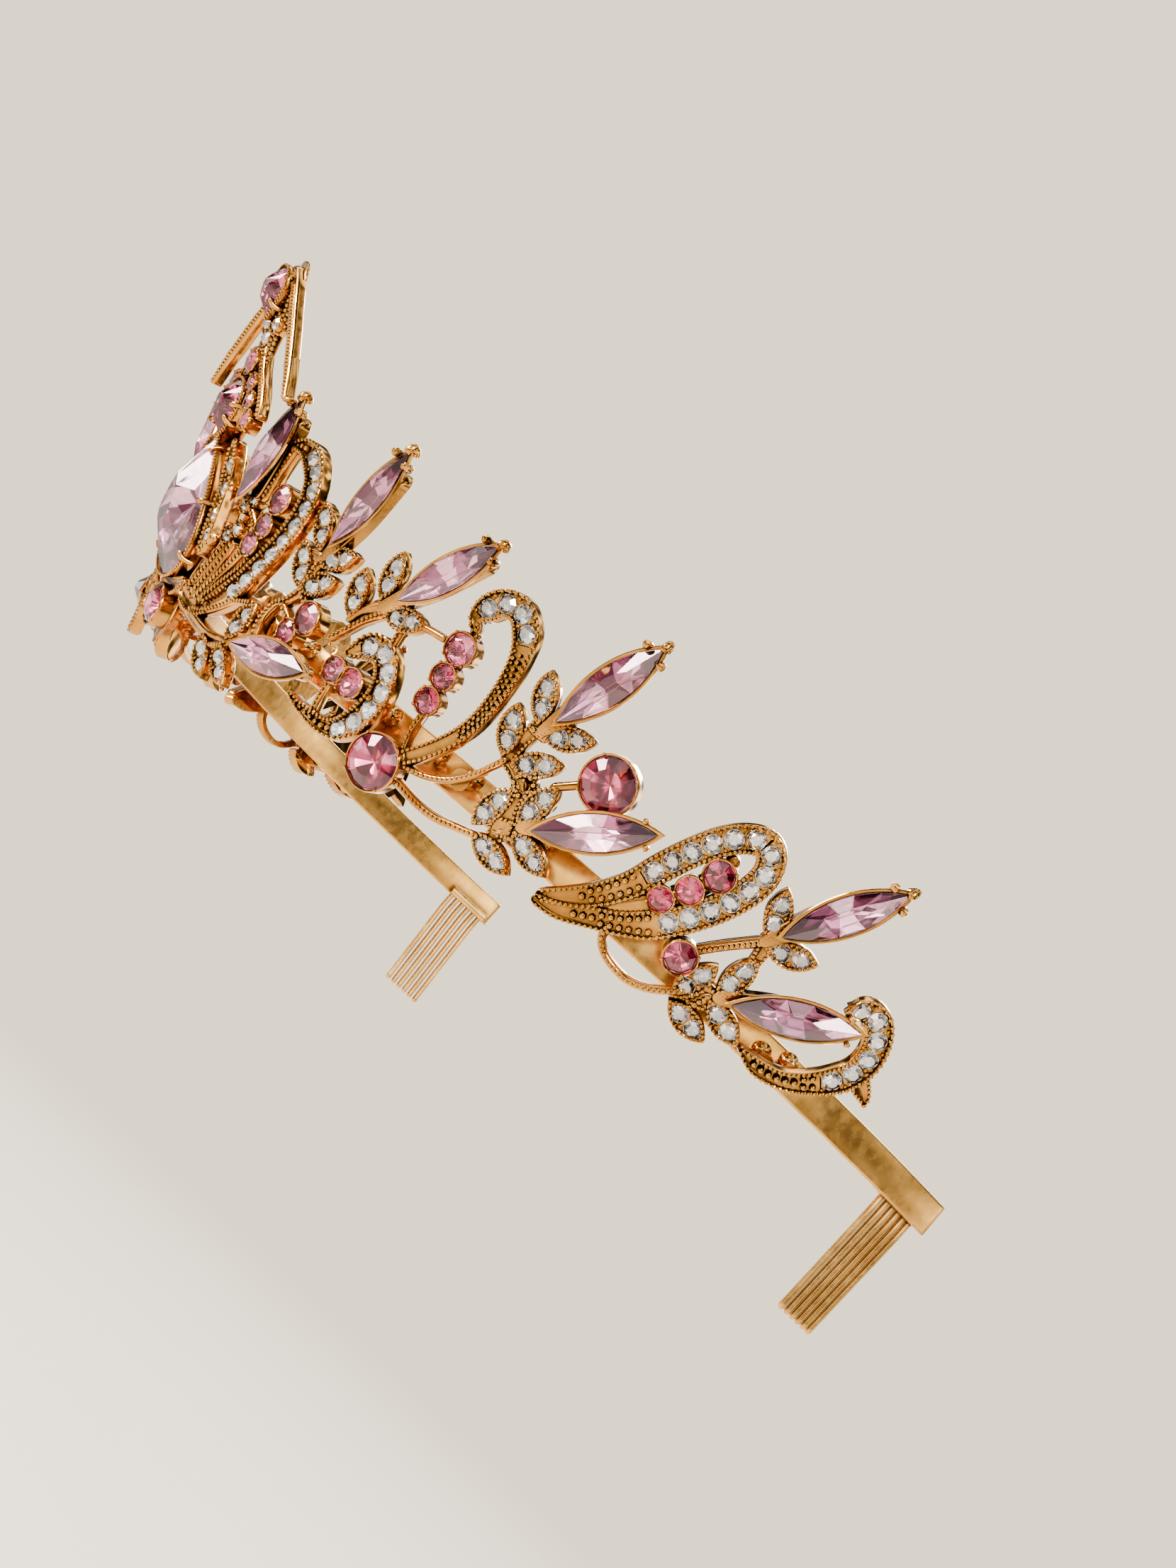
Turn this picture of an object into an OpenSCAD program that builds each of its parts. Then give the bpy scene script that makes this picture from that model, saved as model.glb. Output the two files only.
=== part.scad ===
// Bridal tiara: open headband, filigree castings, set stones and two side combs.
// X is the wearer's left-right axis, -Y is the front, +Z is up as worn.
// Z zero is the band's mid-plane; X zero is the plane of symmetry.
// A point of the filigree is given as [s, h]: s runs along the foot line from
// the front centre, h climbs the flared surface. Raised levels are along its normal.

/* [Head shape] */
// radius of the two side arcs of the foot line
side_r = 75; // [72:0.5:78]
// radius of the flatter front arcs of the foot line
front_r = 110; // [100:1:125]
// where the front arcs end, along the foot line from the front centre
front_len = 21.5; // [20:0.5:23]
// radius of the short arc under the crest that joins the two front arcs
nose_r = 34; // [32:0.5:37]
// half length of the short arc under the crest
nose_len = 6.2; // [5.8:0.1:6.4]
// angle by which the filigree leans outward
flare = 18.2; // [15:0.2:21]
// angle by which the crest leans outward
crest_lean = 22; // [20:0.5:24]

/* [Headband] */
// height of the band strip
band_w = 4.0; // [3.4:0.1:4.6]
// thickness of the band strip
band_t = 1.0; // [0.8:0.1:1.4]
// how far the band's face lies inside the foot line
band_inset = 1.7; // [1.4:0.1:2.2]
// height of the band's lower edge above the foot line
band_rise = 4.1; // [3.6:0.1:4.6]
// length of the band from the front centre to each end
band_reach = 131.5; // [129:0.5:136]

/* [Stones] */
// diameter of the small clear chatons
chaton_d = 2.1; // [1.95:0.05:2.15]
// diameter of the four small clear stones beside the crest
pad_d = 1.6; // [1.5:0.05:1.65]
// length of the marquise stones
navette_l = 13.6; // [12.8:0.1:14]
// width of the marquise stones
navette_w = 3.9; // [3.5:0.1:4.2]
// diameter of the two large round stones on each side
large_d = 6.0; // [5.4:0.1:6.4]
// diameter of the medium round stones
mid_d = 3.4; // [3.1:0.1:3.6]
// diameter of the small round stones
small_d = 2.7; // [2.4:0.1:2.8]
// diameter of the six round stones beside the crest's upper drop
petit_d = 2.3; // [2.1:0.1:2.4]
// length of the big pear stone of the crest
pear_l = 17.4; // [16.8:0.2:17.6]
// width of the big pear stone of the crest
pear_w = 12.4; // [11.8:0.2:12.6]
// length of the drop stone above the big pear
upper_l = 7.0; // [6.6:0.1:7.2]
// width of the drop stone above the big pear
upper_w = 5.6; // [5:0.1:6]
// length of the drop stone at the top of the crest
apex_l = 6.2; // [5.6:0.1:6.6]
// width of the drop stone at the top of the crest
apex_w = 4.6; // [4:0.1:5]
// diameter of the round stone at the foot of the crest
foot_d = 5.0; // [4.4:0.1:5.4]

/* [Castings] */
// size of one step of the grid that the castings are drawn on
grid = 1.0; // [0.99:0.005:1.01]
// thickness of the filigree plate
plate_t = 1.2; // [1:0.1:1.5]
// height of the raised milled edges above the plate
rim_h = 0.3; // [0.2:0.05:0.4]
// width of the raised milled edges
rim_w = 0.35; // [0.25:0.05:0.45]
// radial clearance of a stone in its seat
seat_clear = 0.03; // [0.02:0.01:0.06]
// width of the ledge a stone rests on
ledge = 0.2; // [0.15:0.05:0.3]
// wall thickness of the stone cups
cup_wall = 0.45; // [0.35:0.05:0.6]
// height of the stone cups above the plate
cup_h = 0.9; // [0.7:0.1:1.2]
// diameter of the soldered posts that join castings and band
post_d = 1.6; // [1.2:0.1:2]
// how far the crest stands in front of the wings
crest_lift = 0.6; // [0.55:0.05:0.8]

/* [Combs] */
// number of teeth in each comb
comb_teeth = 6; // [4:1:9]
// spacing of the teeth
tooth_pitch = 1.2; // [1.1:0.1:1.6]
// wire diameter of the teeth
tooth_d = 0.8; // [0.6:0.1:1]
// length of a tooth
tooth_l = 17; // [12:0.5:18]

/* [Hidden] */
$fn = 64;
gold = [0.86, 0.66, 0.45];
clear = [0.9, 0.92, 0.95];
lilac = [0.78, 0.62, 0.76];
pink = [0.86, 0.5, 0.56];

// the arcs of the foot line: where they end and their centres
nose_turn = nose_len / nose_r * 180 / PI;
front_turn = nose_turn + (front_len - nose_len) / front_r * 180 / PI;
front_x = (nose_r - front_r) * sin(nose_turn);
side_x = front_x + (front_r - side_r) * sin(front_turn);
front_y = (front_r - side_r) * cos(front_turn);
nose_y = front_y + (nose_r - front_r) * cos(nose_turn);
foot_z = -(band_rise + band_w / 2);
band_turn = front_turn + (band_reach - front_len) / side_r * 180 / PI;

// leaf and seat sizes that follow the chaton
stone_gap = 0.16;
leaf_gap = 0.05;
leaf_tip = 0.9;
row_gap = 0.15;
cup_sink = 0.35;
bed_rise = 0.15;
leaf_w = chaton_d + 2 * (rim_w + leaf_gap);
leaf_l = 2 * (chaton_d + leaf_tip);
leaf_seat = (chaton_d + stone_gap) / 2;
girdle = 0.12;
row_w = chaton_d + 2 * (rim_w + row_gap);
cup_seat = cup_h - cup_sink;
bed_h = rim_h + bed_rise;
seat_z = -0.1;
post_reach = 6;
band_steps = 66;
comb_bar = 1.4;
comb_t = tooth_d + 0.3;
comb_sink = 0.5;
comb_end = 0.6;
comb_s = band_reach - comb_end - tooth_pitch * comb_teeth / 2;
tooth_bend = 3;
tooth_in = 6;
tooth_sweep = -3;
claw_rise = 0.45;
navette_seat = 0.9;
navette_crown = 1.2;
drop_seat = 0.9;
claw_d = 0.8;
seat_pitch = chaton_d + stone_gap;
crest_hold = 6;
eps = 0.01;

// ---- the shared mapping ----

function turn_at(s) = s <= nose_len ? s / nose_r * 180 / PI :
  s <= front_len ? nose_turn + (s - nose_len) / front_r * 180 / PI :
  front_turn + (s - front_len) / side_r * 180 / PI;
function arc_r(s) = s <= nose_len ? nose_r : s <= front_len ? front_r : side_r;
function centre(s) = s <= nose_len ? [0, nose_y] : s <= front_len ? [front_x, front_y] : [side_x, 0];

// [s, h] on the flared surface to a point of the plane that touches it at sc
CREST = -1;
function flat(sc, p) = sc == CREST ? grid * [p[0], p[1]] :
  let (h = grid * p[1], a = (grid * p[0] - sc) / arc_r(sc) * 180 / PI, r = arc_r(sc) + h * sin(flare))
  [r * sin(a), r * cos(a) * sin(flare) + h * pow(cos(flare), 2) - arc_r(sc) * sin(flare)];

// put a plate on the plane that touches the flared surface at sc, or on the crest's own plane
module place(sc, lift) {
  if (sc == CREST) {
    translate([0, nose_y - nose_r - crest_hold * sin(flare), foot_z + crest_hold * cos(flare)])
      rotate([90 + crest_lean, 0, 0])
        translate([0, -crest_hold, lift])
          children();
  } else {
    a = turn_at(sc);
    c = centre(sc);
    r = arc_r(sc);
    translate([c[0] + r * sin(a), c[1] - r * cos(a), foot_z])
      rotate([0, 0, a])
        rotate([90 + flare, 0, 0])
          translate([0, 0, lift])
            children();
  }
}

// mirror a right-hand piece to the left
module hand(side) {
  if (side > 0) {
    children();
  } else {
    mirror([1, 0, 0]) children();
  }
}

// ---- plane shapes ----

STEPS = 3;
function spline(p, i, t) =
  let (n = len(p), a = p[max(i - 1, 0)], b = p[i], c = p[min(i + 1, n - 1)], d = p[min(i + 2, n - 1)])
  0.5 * (2 * b + (c - a) * t + (2 * a - 5 * b + 4 * c - d) * t * t + (3 * b - a - 3 * c + d) * t * t * t);
function curve(p) = [for (i = [0 : len(p) - 2], j = [0 : STEPS - 1]) spline(p, i, j / STEPS), p[len(p) - 1]];
function unit(v) = v / max(norm(v), eps);
function side_step(q, i) =
  let (d = unit(q[min(i + 1, len(q) - 1)] - q[max(i - 1, 0)])) [-d[1], d[0]];

// a band of changing width that follows a smooth line; each point is [s, h, width]
module stroke(sc, pts, thin = 0) {
  q = curve([for (p = pts) flat(sc, p)]);
  w = curve([for (p = pts) [grid * p[2], 0]]);
  n = len(q) - 1;
  polygon(concat(
    [for (i = [0 : n]) q[i] + side_step(q, i) * (w[i][0] / 2 - thin)],
    [for (i = [n : -1 : 0]) q[i] - side_step(q, i) * (w[i][0] / 2 - thin)]));
}

// pointed oval made by two equal arcs, long axis along x
module oval(l, w) {
  r = (l * l + w * w) / (4 * w);
  intersection() {
    translate([0, w / 2 - r]) circle(r = r, $fn = 120);
    translate([0, r - w / 2]) circle(r = r, $fn = 120);
  }
}

// a leaf given as [s, h, angle]
module leaf(sc, f, thin = 0) {
  translate(flat(sc, f)) rotate(f[2]) oval(leaf_l - 3 * thin, leaf_w - 2 * thin);
}

// teardrop outline, point up
function drop_edge(l, w, t) =
  [w / 2 * 1.262 * sin(t) * pow(abs(sin(t / 2)), 1.15), l / 2 * cos(t)];
module teardrop(l, w) {
  polygon([for (t = [0 : 12 : 348]) drop_edge(l, w, t)]);
}

// the two stones of every leaf
function leaf_seats(sc, leaves) = [for (f = leaves, k = [-1, 1])
  flat(sc, f) + k * leaf_seat * [cos(f[2]), sin(f[2])]];

// n stones in a row along a smooth line, the first one at a given distance
function lengths(q) = [for (i = 0, a = 0; i < len(q);
  a = a + (i < len(q) - 1 ? norm(q[i + 1] - q[i]) : 0), i = i + 1) a];
function point_at(q, c, x) =
  let (i = max([for (k = [0 : len(c) - 2]) if (c[k] <= x) k]))
  q[i] + (q[i + 1] - q[i]) * (x - c[i]) / (c[i + 1] - c[i]);
function row_seats(sc, pts, first, n) =
  let (q = curve([for (p = pts) flat(sc, p)]), c = lengths(q))
  [for (k = [0 : n - 1]) point_at(q, c, grid * first + k * seat_pitch)];

// the same piece on both sides of the middle
function both(list) = concat(list, [for (p = list) [-p[0], p[1], p[2]]]);
function both_lines(list) = concat(list, [for (l = list) [for (p = l) [-p[0], p[1], p[2]]]]);

// ---- stones ----

// small round stone: step under the girdle, cone below, cut top above
module chaton(d = chaton_d) {
  rotate_extrude($fn = 24)
    polygon([[0, -d * 0.28], [d / 2 - ledge - 0.02, -eps], [d / 2 - ledge - 0.02, 0], [d / 2, 0],
             [d / 2, girdle], [d * 0.3, d * 0.22], [0, d * 0.22]]);
}

// a clear stone's diameter: the third number of its place, if there is one
function stone_d(p) = len(p) > 2 ? p[2] : chaton_d;

module chatons_at(pts) {
  for (p = pts)
    translate([p[0], p[1], seat_z]) chaton(stone_d(p));
}

// the hole a round stone drops into, ledge at z = 0
module seat(d, deep) {
  cylinder(d = d + 2 * seat_clear, h = deep, $fn = 32);
  translate([0, 0, -plate_t * 3]) cylinder(d = d - 2 * ledge, h = plate_t * 3 + eps, $fn = 32);
}

// cup for a round stone with four grains on its wall
module cup(d) {
  cylinder(d = d + 2 * cup_wall, h = cup_h);
  for (a = [45 : 90 : 315])
    rotate(a)
      translate([d / 2 + cup_wall / 2 + seat_clear / 2, 0, cup_h])
        sphere(r = cup_wall * 0.38, $fn = 16);
}

// body of a marquise between two levels, sides sloping like two crossed cones
module marquise_body(l, w, h, shrink) {
  r = (l * l + w * w) / (4 * w);
  intersection() {
    translate([0, w / 2 - r, 0]) cylinder(r1 = r, r2 = r - shrink, h = h, $fn = 120);
    translate([0, r - w / 2, 0]) cylinder(r1 = r, r2 = r - shrink, h = h, $fn = 120);
  }
}

module navette() {
  marquise_body(navette_l, navette_w, navette_crown, navette_w * 0.27);
  mirror([0, 0, 1]) marquise_body(navette_l * 0.85, navette_w * 0.88, navette_seat, navette_w * 0.3);
}

// faceted teardrop stone, point up
module drop_gem(l, w, crown, pavilion) {
  hull() {
    translate([0, -l * 0.03, crown - eps]) linear_extrude(eps) teardrop(l * 0.52, w * 0.56);
    translate([0, -l * 0.01, crown * 0.55]) linear_extrude(eps) teardrop(l * 0.82, w * 0.84);
    linear_extrude(crown * 0.12) teardrop(l, w);
  }
  mirror([0, 0, 1]) linear_extrude(pavilion) teardrop(l * 0.8, w * 0.8);
}

// ---- a filigree casting ----

// outline of everything cast in one plate
module plate_outline(sc, rows, wires, leaves, pads) {
  for (p = rows) stroke(sc, p);
  for (p = wires) stroke(sc, p);
  for (f = leaves) leaf(sc, f);
  for (c = pads) translate(flat(sc, c)) circle(d = grid * c[2], $fn = 32);
}

// raised edges along the stone rows and around the leaves
module edge_outline(sc, rows, leaves) {
  difference() {
    union() {
      for (p = rows) stroke(sc, p);
      for (f = leaves) leaf(sc, f);
    }
    for (p = rows) stroke(sc, p, rim_w);
    for (f = leaves) leaf(sc, f, rim_w);
  }
}

// soldered posts from the back of a plate to the band's face
module posts_to_band(sc, lift, posts) {
  difference() {
    place(sc, lift)
      for (p = posts)
        translate(concat(flat(sc, p), -plate_t - post_reach))
          cylinder(d = post_d, h = post_reach + plate_t / 2);
    translate(concat(centre(sc), -band_w * 4))
      cylinder(r = arc_r(sc) - band_inset, h = band_w * 8, $fn = 360);
  }
}

// plates, raised edges, beds, cups and posts, with every seat cut out
module casting(sc, lift, rows, wires, beds, leaves, pads, cups, stones, posts) {
  color(gold)
    difference() {
      union() {
        place(sc, lift) {
          translate([0, 0, -plate_t])
            linear_extrude(plate_t)
              plate_outline(sc, rows, wires, leaves, pads);
          linear_extrude(rim_h)
            edge_outline(sc, rows, leaves);
          for (p = beds)
            translate([0, 0, -plate_t]) linear_extrude(plate_t + bed_h) stroke(sc, p);
          translate([0, 0, -plate_t])
            linear_extrude(plate_t + cup_h)
              for (c = cups)
                translate(flat(sc, c)) circle(d = c[2] + 2 * cup_wall, $fn = 64);
        }
        posts_to_band(sc, lift, posts);
      }
      place(sc, lift) {
        for (p = stones)
          translate([p[0], p[1], seat_z]) seat(stone_d(p), bed_h + cup_h);
        for (c = cups)
          translate(concat(flat(sc, c), cup_seat)) seat(c[2], cup_h);
      }
    }
}

// round stones in their cups
module rounds_at(sc, lift, cups) {
  color(pink)
    place(sc, lift)
      for (c = cups)
        translate(concat(flat(sc, c), cup_seat)) chaton(c[2]);
}

module clear_stones(sc, lift, pts) {
  color(clear)
    place(sc, lift)
      chatons_at(pts);
}

// ---- headband and combs ----

// a strip between two radii of an arc, from one angle to another (front is zero)
module arc_strip(r, t, from, to) {
  far = r * 2.2;
  mid = (from + to) / 2;
  intersection() {
    difference() {
      circle(r = r, $fn = 360);
      circle(r = r - t, $fn = 360);
    }
    polygon([[0, 0], far * [sin(from), -cos(from)], far * [sin(mid), -cos(mid)],
             far * [sin(to), -cos(to)]]);
  }
}

// a point of the band's plan at s, some way inside the foot line; s is negative on the left
function plan(s, inset) =
  let (a = turn_at(abs(s)), c = centre(abs(s)), r = arc_r(abs(s)) - inset)
  [sign(s) * (c[0] + r * sin(a)), c[1] - r * cos(a)];

// the rounded end of the band's plan, from its outer to its inner edge
function band_end(side) =
  [for (t = [30 : 30 : 150])
    let (a = band_turn + atan(band_t / 2 * sin(t) / side_r),
         r = side_r - band_inset - band_t / 2 * (1 - cos(t)))
    [side * (side_x + r * sin(a)), -r * cos(a)]];

module headband() {
  step = band_reach / band_steps;
  outer = [for (k = [-band_steps : band_steps]) plan(k * step, band_inset)];
  inner = [for (k = [band_steps : -1 : -band_steps]) plan(k * step, band_inset + band_t)];
  tail = band_end(-1);
  color(gold)
    translate([0, 0, -band_w / 2])
      linear_extrude(band_w)
        polygon(concat(outer, band_end(1), inner, [for (k = [len(tail) - 1 : -1 : 0]) tail[k]]));
}

module tooth(angle) {
  rotate([0, 0, angle])
    translate([0, -(side_r - band_inset - band_t - comb_t / 2), -band_w / 2 + comb_bar]) {
      translate([0, 0, -tooth_bend]) cylinder(d = tooth_d, h = tooth_bend - comb_sink, $fn = 24);
      translate([0, 0, -tooth_bend]) {
        sphere(d = tooth_d, $fn = 24);
        rotate([180 + tooth_in, tooth_sweep, 0]) {
          cylinder(d = tooth_d, h = tooth_l - tooth_bend, $fn = 24);
          translate([0, 0, tooth_l - tooth_bend]) sphere(d = tooth_d, $fn = 24);
        }
      }
    }
}

module comb() {
  step = tooth_pitch / side_r * 180 / PI;
  mid = front_turn + (comb_s - front_len) / side_r * 180 / PI;
  half = step * (comb_teeth - 1) / 2;
  color(gold)
    translate([side_x, 0, 0]) {
      translate([0, 0, -band_w / 2])
        linear_extrude(comb_bar)
          arc_strip(side_r - band_inset - band_t, comb_t, mid - half - step / 2, mid + half + step / 2);
      for (k = [0 : comb_teeth - 1]) tooth(mid - half + k * step);
    }
}

// ---- crest ----

crest_arm = [[0.3, 43.3, 1.6], [2.8, 41.2, 1.6], [5.5, 38.6, 1.5], [8.4, 35.9, 1.4],
             [11, 33.3, 1.3], [13.2, 31, 1.1], [14.3, 29.7, 0.9]];
crest_inner = [[0.2, 34.2, 1.2], [1.9, 32.2, 1.1], [3.9, 30.3, 1.1], [6, 28.6, 1.1],
               [7.7, 26.9, 1], [8.4, 25.6, 0.9]];
crest_column = [[0, 42.5, 5], [0, 38, 5.6], [0, 35, 4.4], [0, 32, 3.4], [0, 29, 5], [0, 25, 6.6],
                [0, 21.5, 3.4]];
crest_back = [[0, 22.5, 3.6], [0, 18, 8.4], [0, 13, 13], [0, 8, 12], [0, 4.5, 7], [0, 1, 6.2],
              [0, -1.4, 4.2], [0, -3, 1.2]];
crest_side = [[4.6, 21.4, 2], [6.1, 19.2, 2.9], [7.4, 16.6, 2.9], [7.6, 14, 2.9], [7.8, 11.2, 2.8],
              [7.4, 8.8, 1.4]];
crest_foot = [[-5.4, 4.6, 1.2], [-3.2, 3.8, 2.2], [0, 3.4, 2.6], [3.2, 3.8, 2.2], [5.4, 4.6, 1.2]];
crest_cups = both([[3.5, 29, petit_d], [5.1, 26.9, petit_d], [6.6, 24.7, petit_d]]);
crest_cup_top = [[0, 31.6, mid_d - 0.2]];
crest_seats = concat([[0, 34.8]], [for (m = [-1, 1], p = [[1.8, 36.6], [6.2, 19.2], [7.6, 16.5], [7.6, 13.2],
  [7.9, 10.7]]) [m * p[0], p[1]]]);
pear_at = [0, 13.2];
upper_at = [0, 25.6];
apex_at = [0, 40.2];
foot_at = [0, 0.8];

module crest() {
  difference() {
    crest_casting();
    place(CREST, crest_lift)
      translate(concat(flat(CREST, foot_at), cup_seat)) seat(foot_d, cup_h);
  }
}

module crest_casting() {
  casting(CREST, crest_lift, [],
    concat(both_lines([crest_arm, crest_inner, crest_side]), [crest_foot, crest_column, crest_back]),
    [], [], [], concat(crest_cups, crest_cup_top), crest_seats,
    [[-2.8, 6.4], [2.8, 6.4]]);
}

// frame that holds one of the crest's drop stones
module drop_setting(at, turn, l, w, claws) {
  claw_out = 2 * cup_wall + claw_d / 2;
  color(gold)
    place(CREST, crest_lift)
      translate(concat(flat(CREST, at), 0))
        rotate(turn) {
          difference() {
            linear_extrude(drop_seat + girdle * 2) teardrop(l + 2 * cup_wall, w + 2 * cup_wall);
            translate([0, 0, drop_seat])
              linear_extrude(drop_seat) teardrop(l + 2 * seat_clear, w + 2 * seat_clear);
            translate([0, 0, -drop_seat])
              linear_extrude(drop_seat * 3) teardrop(l * 0.86, w * 0.86);
          }
          for (t = claws)
            translate(concat(drop_edge(l + claw_out, w + claw_out, t), 0)) {
              cylinder(d = claw_d, h = drop_seat + claw_rise, $fn = 24);
              translate([0, 0, drop_seat + claw_rise]) sphere(d = claw_d, $fn = 24);
            }
        }
}

module drop_stone(at, turn, l, w, crown, tint) {
  color(tint)
    place(CREST, crest_lift)
      translate(concat(flat(CREST, at), drop_seat))
        rotate(turn)
          drop_gem(l, w, crown, drop_seat - 0.1);
}

module pear_setting() {
  drop_setting(pear_at, 0, pear_l, pear_w, [36, 84, 132, 228, 276, 324]);
}

module upper_setting() {
  drop_setting(upper_at, 180, upper_l, upper_w, [62, 96, 264, 298]);
}

module apex_setting() {
  drop_setting(apex_at, 180, apex_l, apex_w, [60, 300]);
}

module foot_setting() {
  color(gold)
    place(CREST, crest_lift)
      translate(concat(flat(CREST, foot_at), 0))
        difference() {
          cup(foot_d);
          translate([0, 0, cup_seat]) seat(foot_d, cup_h);
        }
}

module pear_stone() {
  drop_stone(pear_at, 0, pear_l, pear_w, pear_w * 0.24, lilac);
}

module upper_stone() {
  drop_stone(upper_at, 180, upper_l, upper_w, upper_w * 0.34, pink);
}

module apex_stone() {
  drop_stone(apex_at, 180, apex_l, apex_w, apex_w * 0.36, pink);
}

module foot_stone() {
  rounds_at(CREST, crest_lift, [[foot_at[0], foot_at[1], foot_d]]);
}

module crest_rounds() {
  rounds_at(CREST, crest_lift, concat(crest_cups, crest_cup_top));
}

module crest_chatons() {
  clear_stones(CREST, crest_lift, crest_seats);
}

// ---- wing: fan of ribs, stone-set hook, leaves and a cup row ----

wing_s = 15;
wing_lift = 0.3;
wing_hook = [[13.2, 24.9, 1.2], [15.4, 25.2, 2.2], [17.6, 24.5, row_w], [19.4, 23, row_w],
  [20.4, 21, row_w], [20.6, 18.8, row_w], [20.3, 16.6, row_w], [19.6, 14.4, row_w],
  [18.7, 12.4, row_w], [17.6, 10.4, row_w], [16.6, 8.6, row_w], [15.3, 6.9, row_w],
  [13.6, 5.2, 2.2], [11.6, 3.8, 1.4]];
wing_ribs = [
  [[6.3, 4.4, 0.8], [7.4, 6.6, 1.2], [8.6, 9, 1.1], [9.2, 11, 0.8]],
  [[7.5, 3.8, 0.9], [9, 6.6, 1.1], [10.1, 9.4, 1.1], [10.6, 11.4, 0.9]],
  [[8.8, 4, 0.8], [10.6, 7, 1], [12.2, 9.6, 1.2], [13.6, 12, 0.9]],
  [[9.6, 3.6, 0.9], [12, 6.6, 1.1], [14.4, 9.4, 1.1], [15.6, 11.8, 1]]];
wing_wires = [
  [[6.2, 3.6, 2.2], [8, 3.3, 2.8], [10, 3.2, 2.4], [12, 3.6, 1.4]],
  [[9, 2.4, 1.2], [12, 1.7, 0.9], [15.2, 1.4, 0.9], [18.4, 1.8, 1]],
  [[9.6, 2.8, 1], [12, 3.3, 0.8], [14.4, 4.6, 0.8], [16.8, 6.2, 0.9], [19.8, 7.1, 1]],
  [[9.8, 11.2, 2.2], [9.7, 13.4, 2.4], [10.4, 16.2, 2.4], [11, 18.8, 2]],
  [[10.4, 16.2, 1], [12.8, 14.8, 1], [14.9, 13, 1]],
  [[12.3, 18, 1.2], [12.7, 21.4, 0.9], [13.2, 24.4, 1.2]],
  [[16.4, 18.7, 1], [20, 19.4, 1]],
  [[19.2, 2.4, 1.4], [18.8, 1.4, 1.2], [16.2, 0.3, 1.2], [14.8, 0.2, 1]]];
wing_beds = [[[10.7, 18.2, 2.2], [10.9, 22, 2.9], [11.5, 27, 2.2]]];
wing_pads = [[10.7, 17.2, 2.3], [9.4, 16.1, 2.3], [10.2, 13.2, 2.3], [9, 12, 2.3]];
wing_leaves = [[19.9, 4.7, 64], [15.8, -1.2, -47], [20.1, -0.7, -39]];
wing_cups = [[16.4, 18.7, mid_d], [15.8, 15.2, small_d + 0.1], [14.9, 12.6, small_d]];
wing_seats = concat(row_seats(wing_s, wing_hook, 4.6, 10), leaf_seats(wing_s, wing_leaves),
  [for (p = wing_pads) concat(flat(wing_s, p), pad_d)]);

module wing() {
  casting(wing_s, wing_lift, [wing_hook], concat(wing_ribs, wing_wires), wing_beds, wing_leaves,
    wing_pads, wing_cups, wing_seats, [[12.4, 5.6], [18.6, 5.6]]);
}

// ---- spray: four leaves, two cups and the low marquise ----

spray_s = 26;
spray_leaves = [[24.4, 18.8, 122], [29.1, 16.7, 28], [24.3, 14, 122], [28.2, 13.1, 31]];
spray_wires = [
  [[24.8, 15.6, 1.4], [26.2, 15.4, 2.2], [27.4, 15.2, 1]],
  [[26.6, 15.6, 1.4], [26.2, 13.6, 1.3], [26, 11.6, 1.6], [24.8, 9.8, 1.2], [23.2, 8.6, 1], [22.3, 6.4, 1],
   [22.6, 4, 1]],
  [[26, 11.6, 1.4], [27.6, 10.6, 1.1], [29.6, 9.6, 1]],
  [[28.1, 7.2, 1], [27.6, 5, 1.2], [27.4, 3.4, 1.2]],
  [[24, 9.2, 1], [26, 8.2, 1], [28, 7.2, 1]]];
spray_beds = [[[22.2, 2.5, 1.6], [27, 3.3, 2.6], [32.6, 4.3, 1.8]],
  [[27.1, 16.2, 1.4], [29, 21.6, 2.8], [31, 27.6, 2]]];
spray_cups = [[29.9, 9.5, mid_d + 0.1], [28, 6.9, small_d]];
spray_seats = leaf_seats(spray_s, spray_leaves);

module spray() {
  casting(spray_s, 0, [], spray_wires, spray_beds, spray_leaves, [], spray_cups, spray_seats,
    [[22.9, 6], [27.9, 6]]);
}

// ---- crescent: stone-set scroll, three leaves, two cups and a channel ----

crescent_s = 38.5;
crescent_row = [[37.2, 9.4, 1.4], [39, 11.1, row_w], [41.2, 11.4, row_w], [42.7, 9.9, row_w],
  [43.4, 7.6, row_w], [43.1, 5.5, row_w], [42.4, 3.6, row_w], [41.1, 1.9, 2.6], [39.3, 1.1, 2],
  [37, 1, 1.6], [34.8, 1.2, 1.2], [33.2, 1.6, 0.8]];
crescent_leaves = [[33.9, 15, 105], [36.7, 18.7, 96], [41, 15.7, 15]];
crescent_wires = [
  [[33.5, 9.2, 0.8], [34.6, 10.6, 0.9], [36.2, 12.8, 0.9], [38, 14.8, 1.2]],
  [[34.6, 12.2, 1], [35.4, 13.6, 1], [37.2, 15.2, 1.8], [38.8, 15.4, 1.4]],
  [[41.2, 12.6, 1], [41.2, 14.4, 1]],
  [[36.4, 6.9, 1], [39.9, 6.7, 1.2], [42.6, 6.6, 1]],
  [[43.2, 16.3, 0.9], [44.6, 16.5, 0.9], [46.2, 16.7, 0.9]],
  [[36.6, 5.6, 0.8], [36.4, 3.4, 0.9], [36.6, 1.2, 0.8]]];
crescent_beds = [[[37.9, 15.4, 1.6], [42, 20.8, 2.8], [45.8, 25.8, 1.8]]];
crescent_cups = [[36.9, 6.8, small_d], [39.7, 6.7, small_d + 0.4]];
crescent_seats = concat(row_seats(crescent_s, crescent_row, 2.5, 7),
  leaf_seats(crescent_s, crescent_leaves));

module crescent() {
  casting(crescent_s, 0, [crescent_row], crescent_wires, crescent_beds, crescent_leaves, [],
    crescent_cups, crescent_seats, [[43.2, 5.7], [36.6, 5.4]]);
}

// ---- swan: tall hook over three hanging cups, ribs from the big round stone ----

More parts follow.
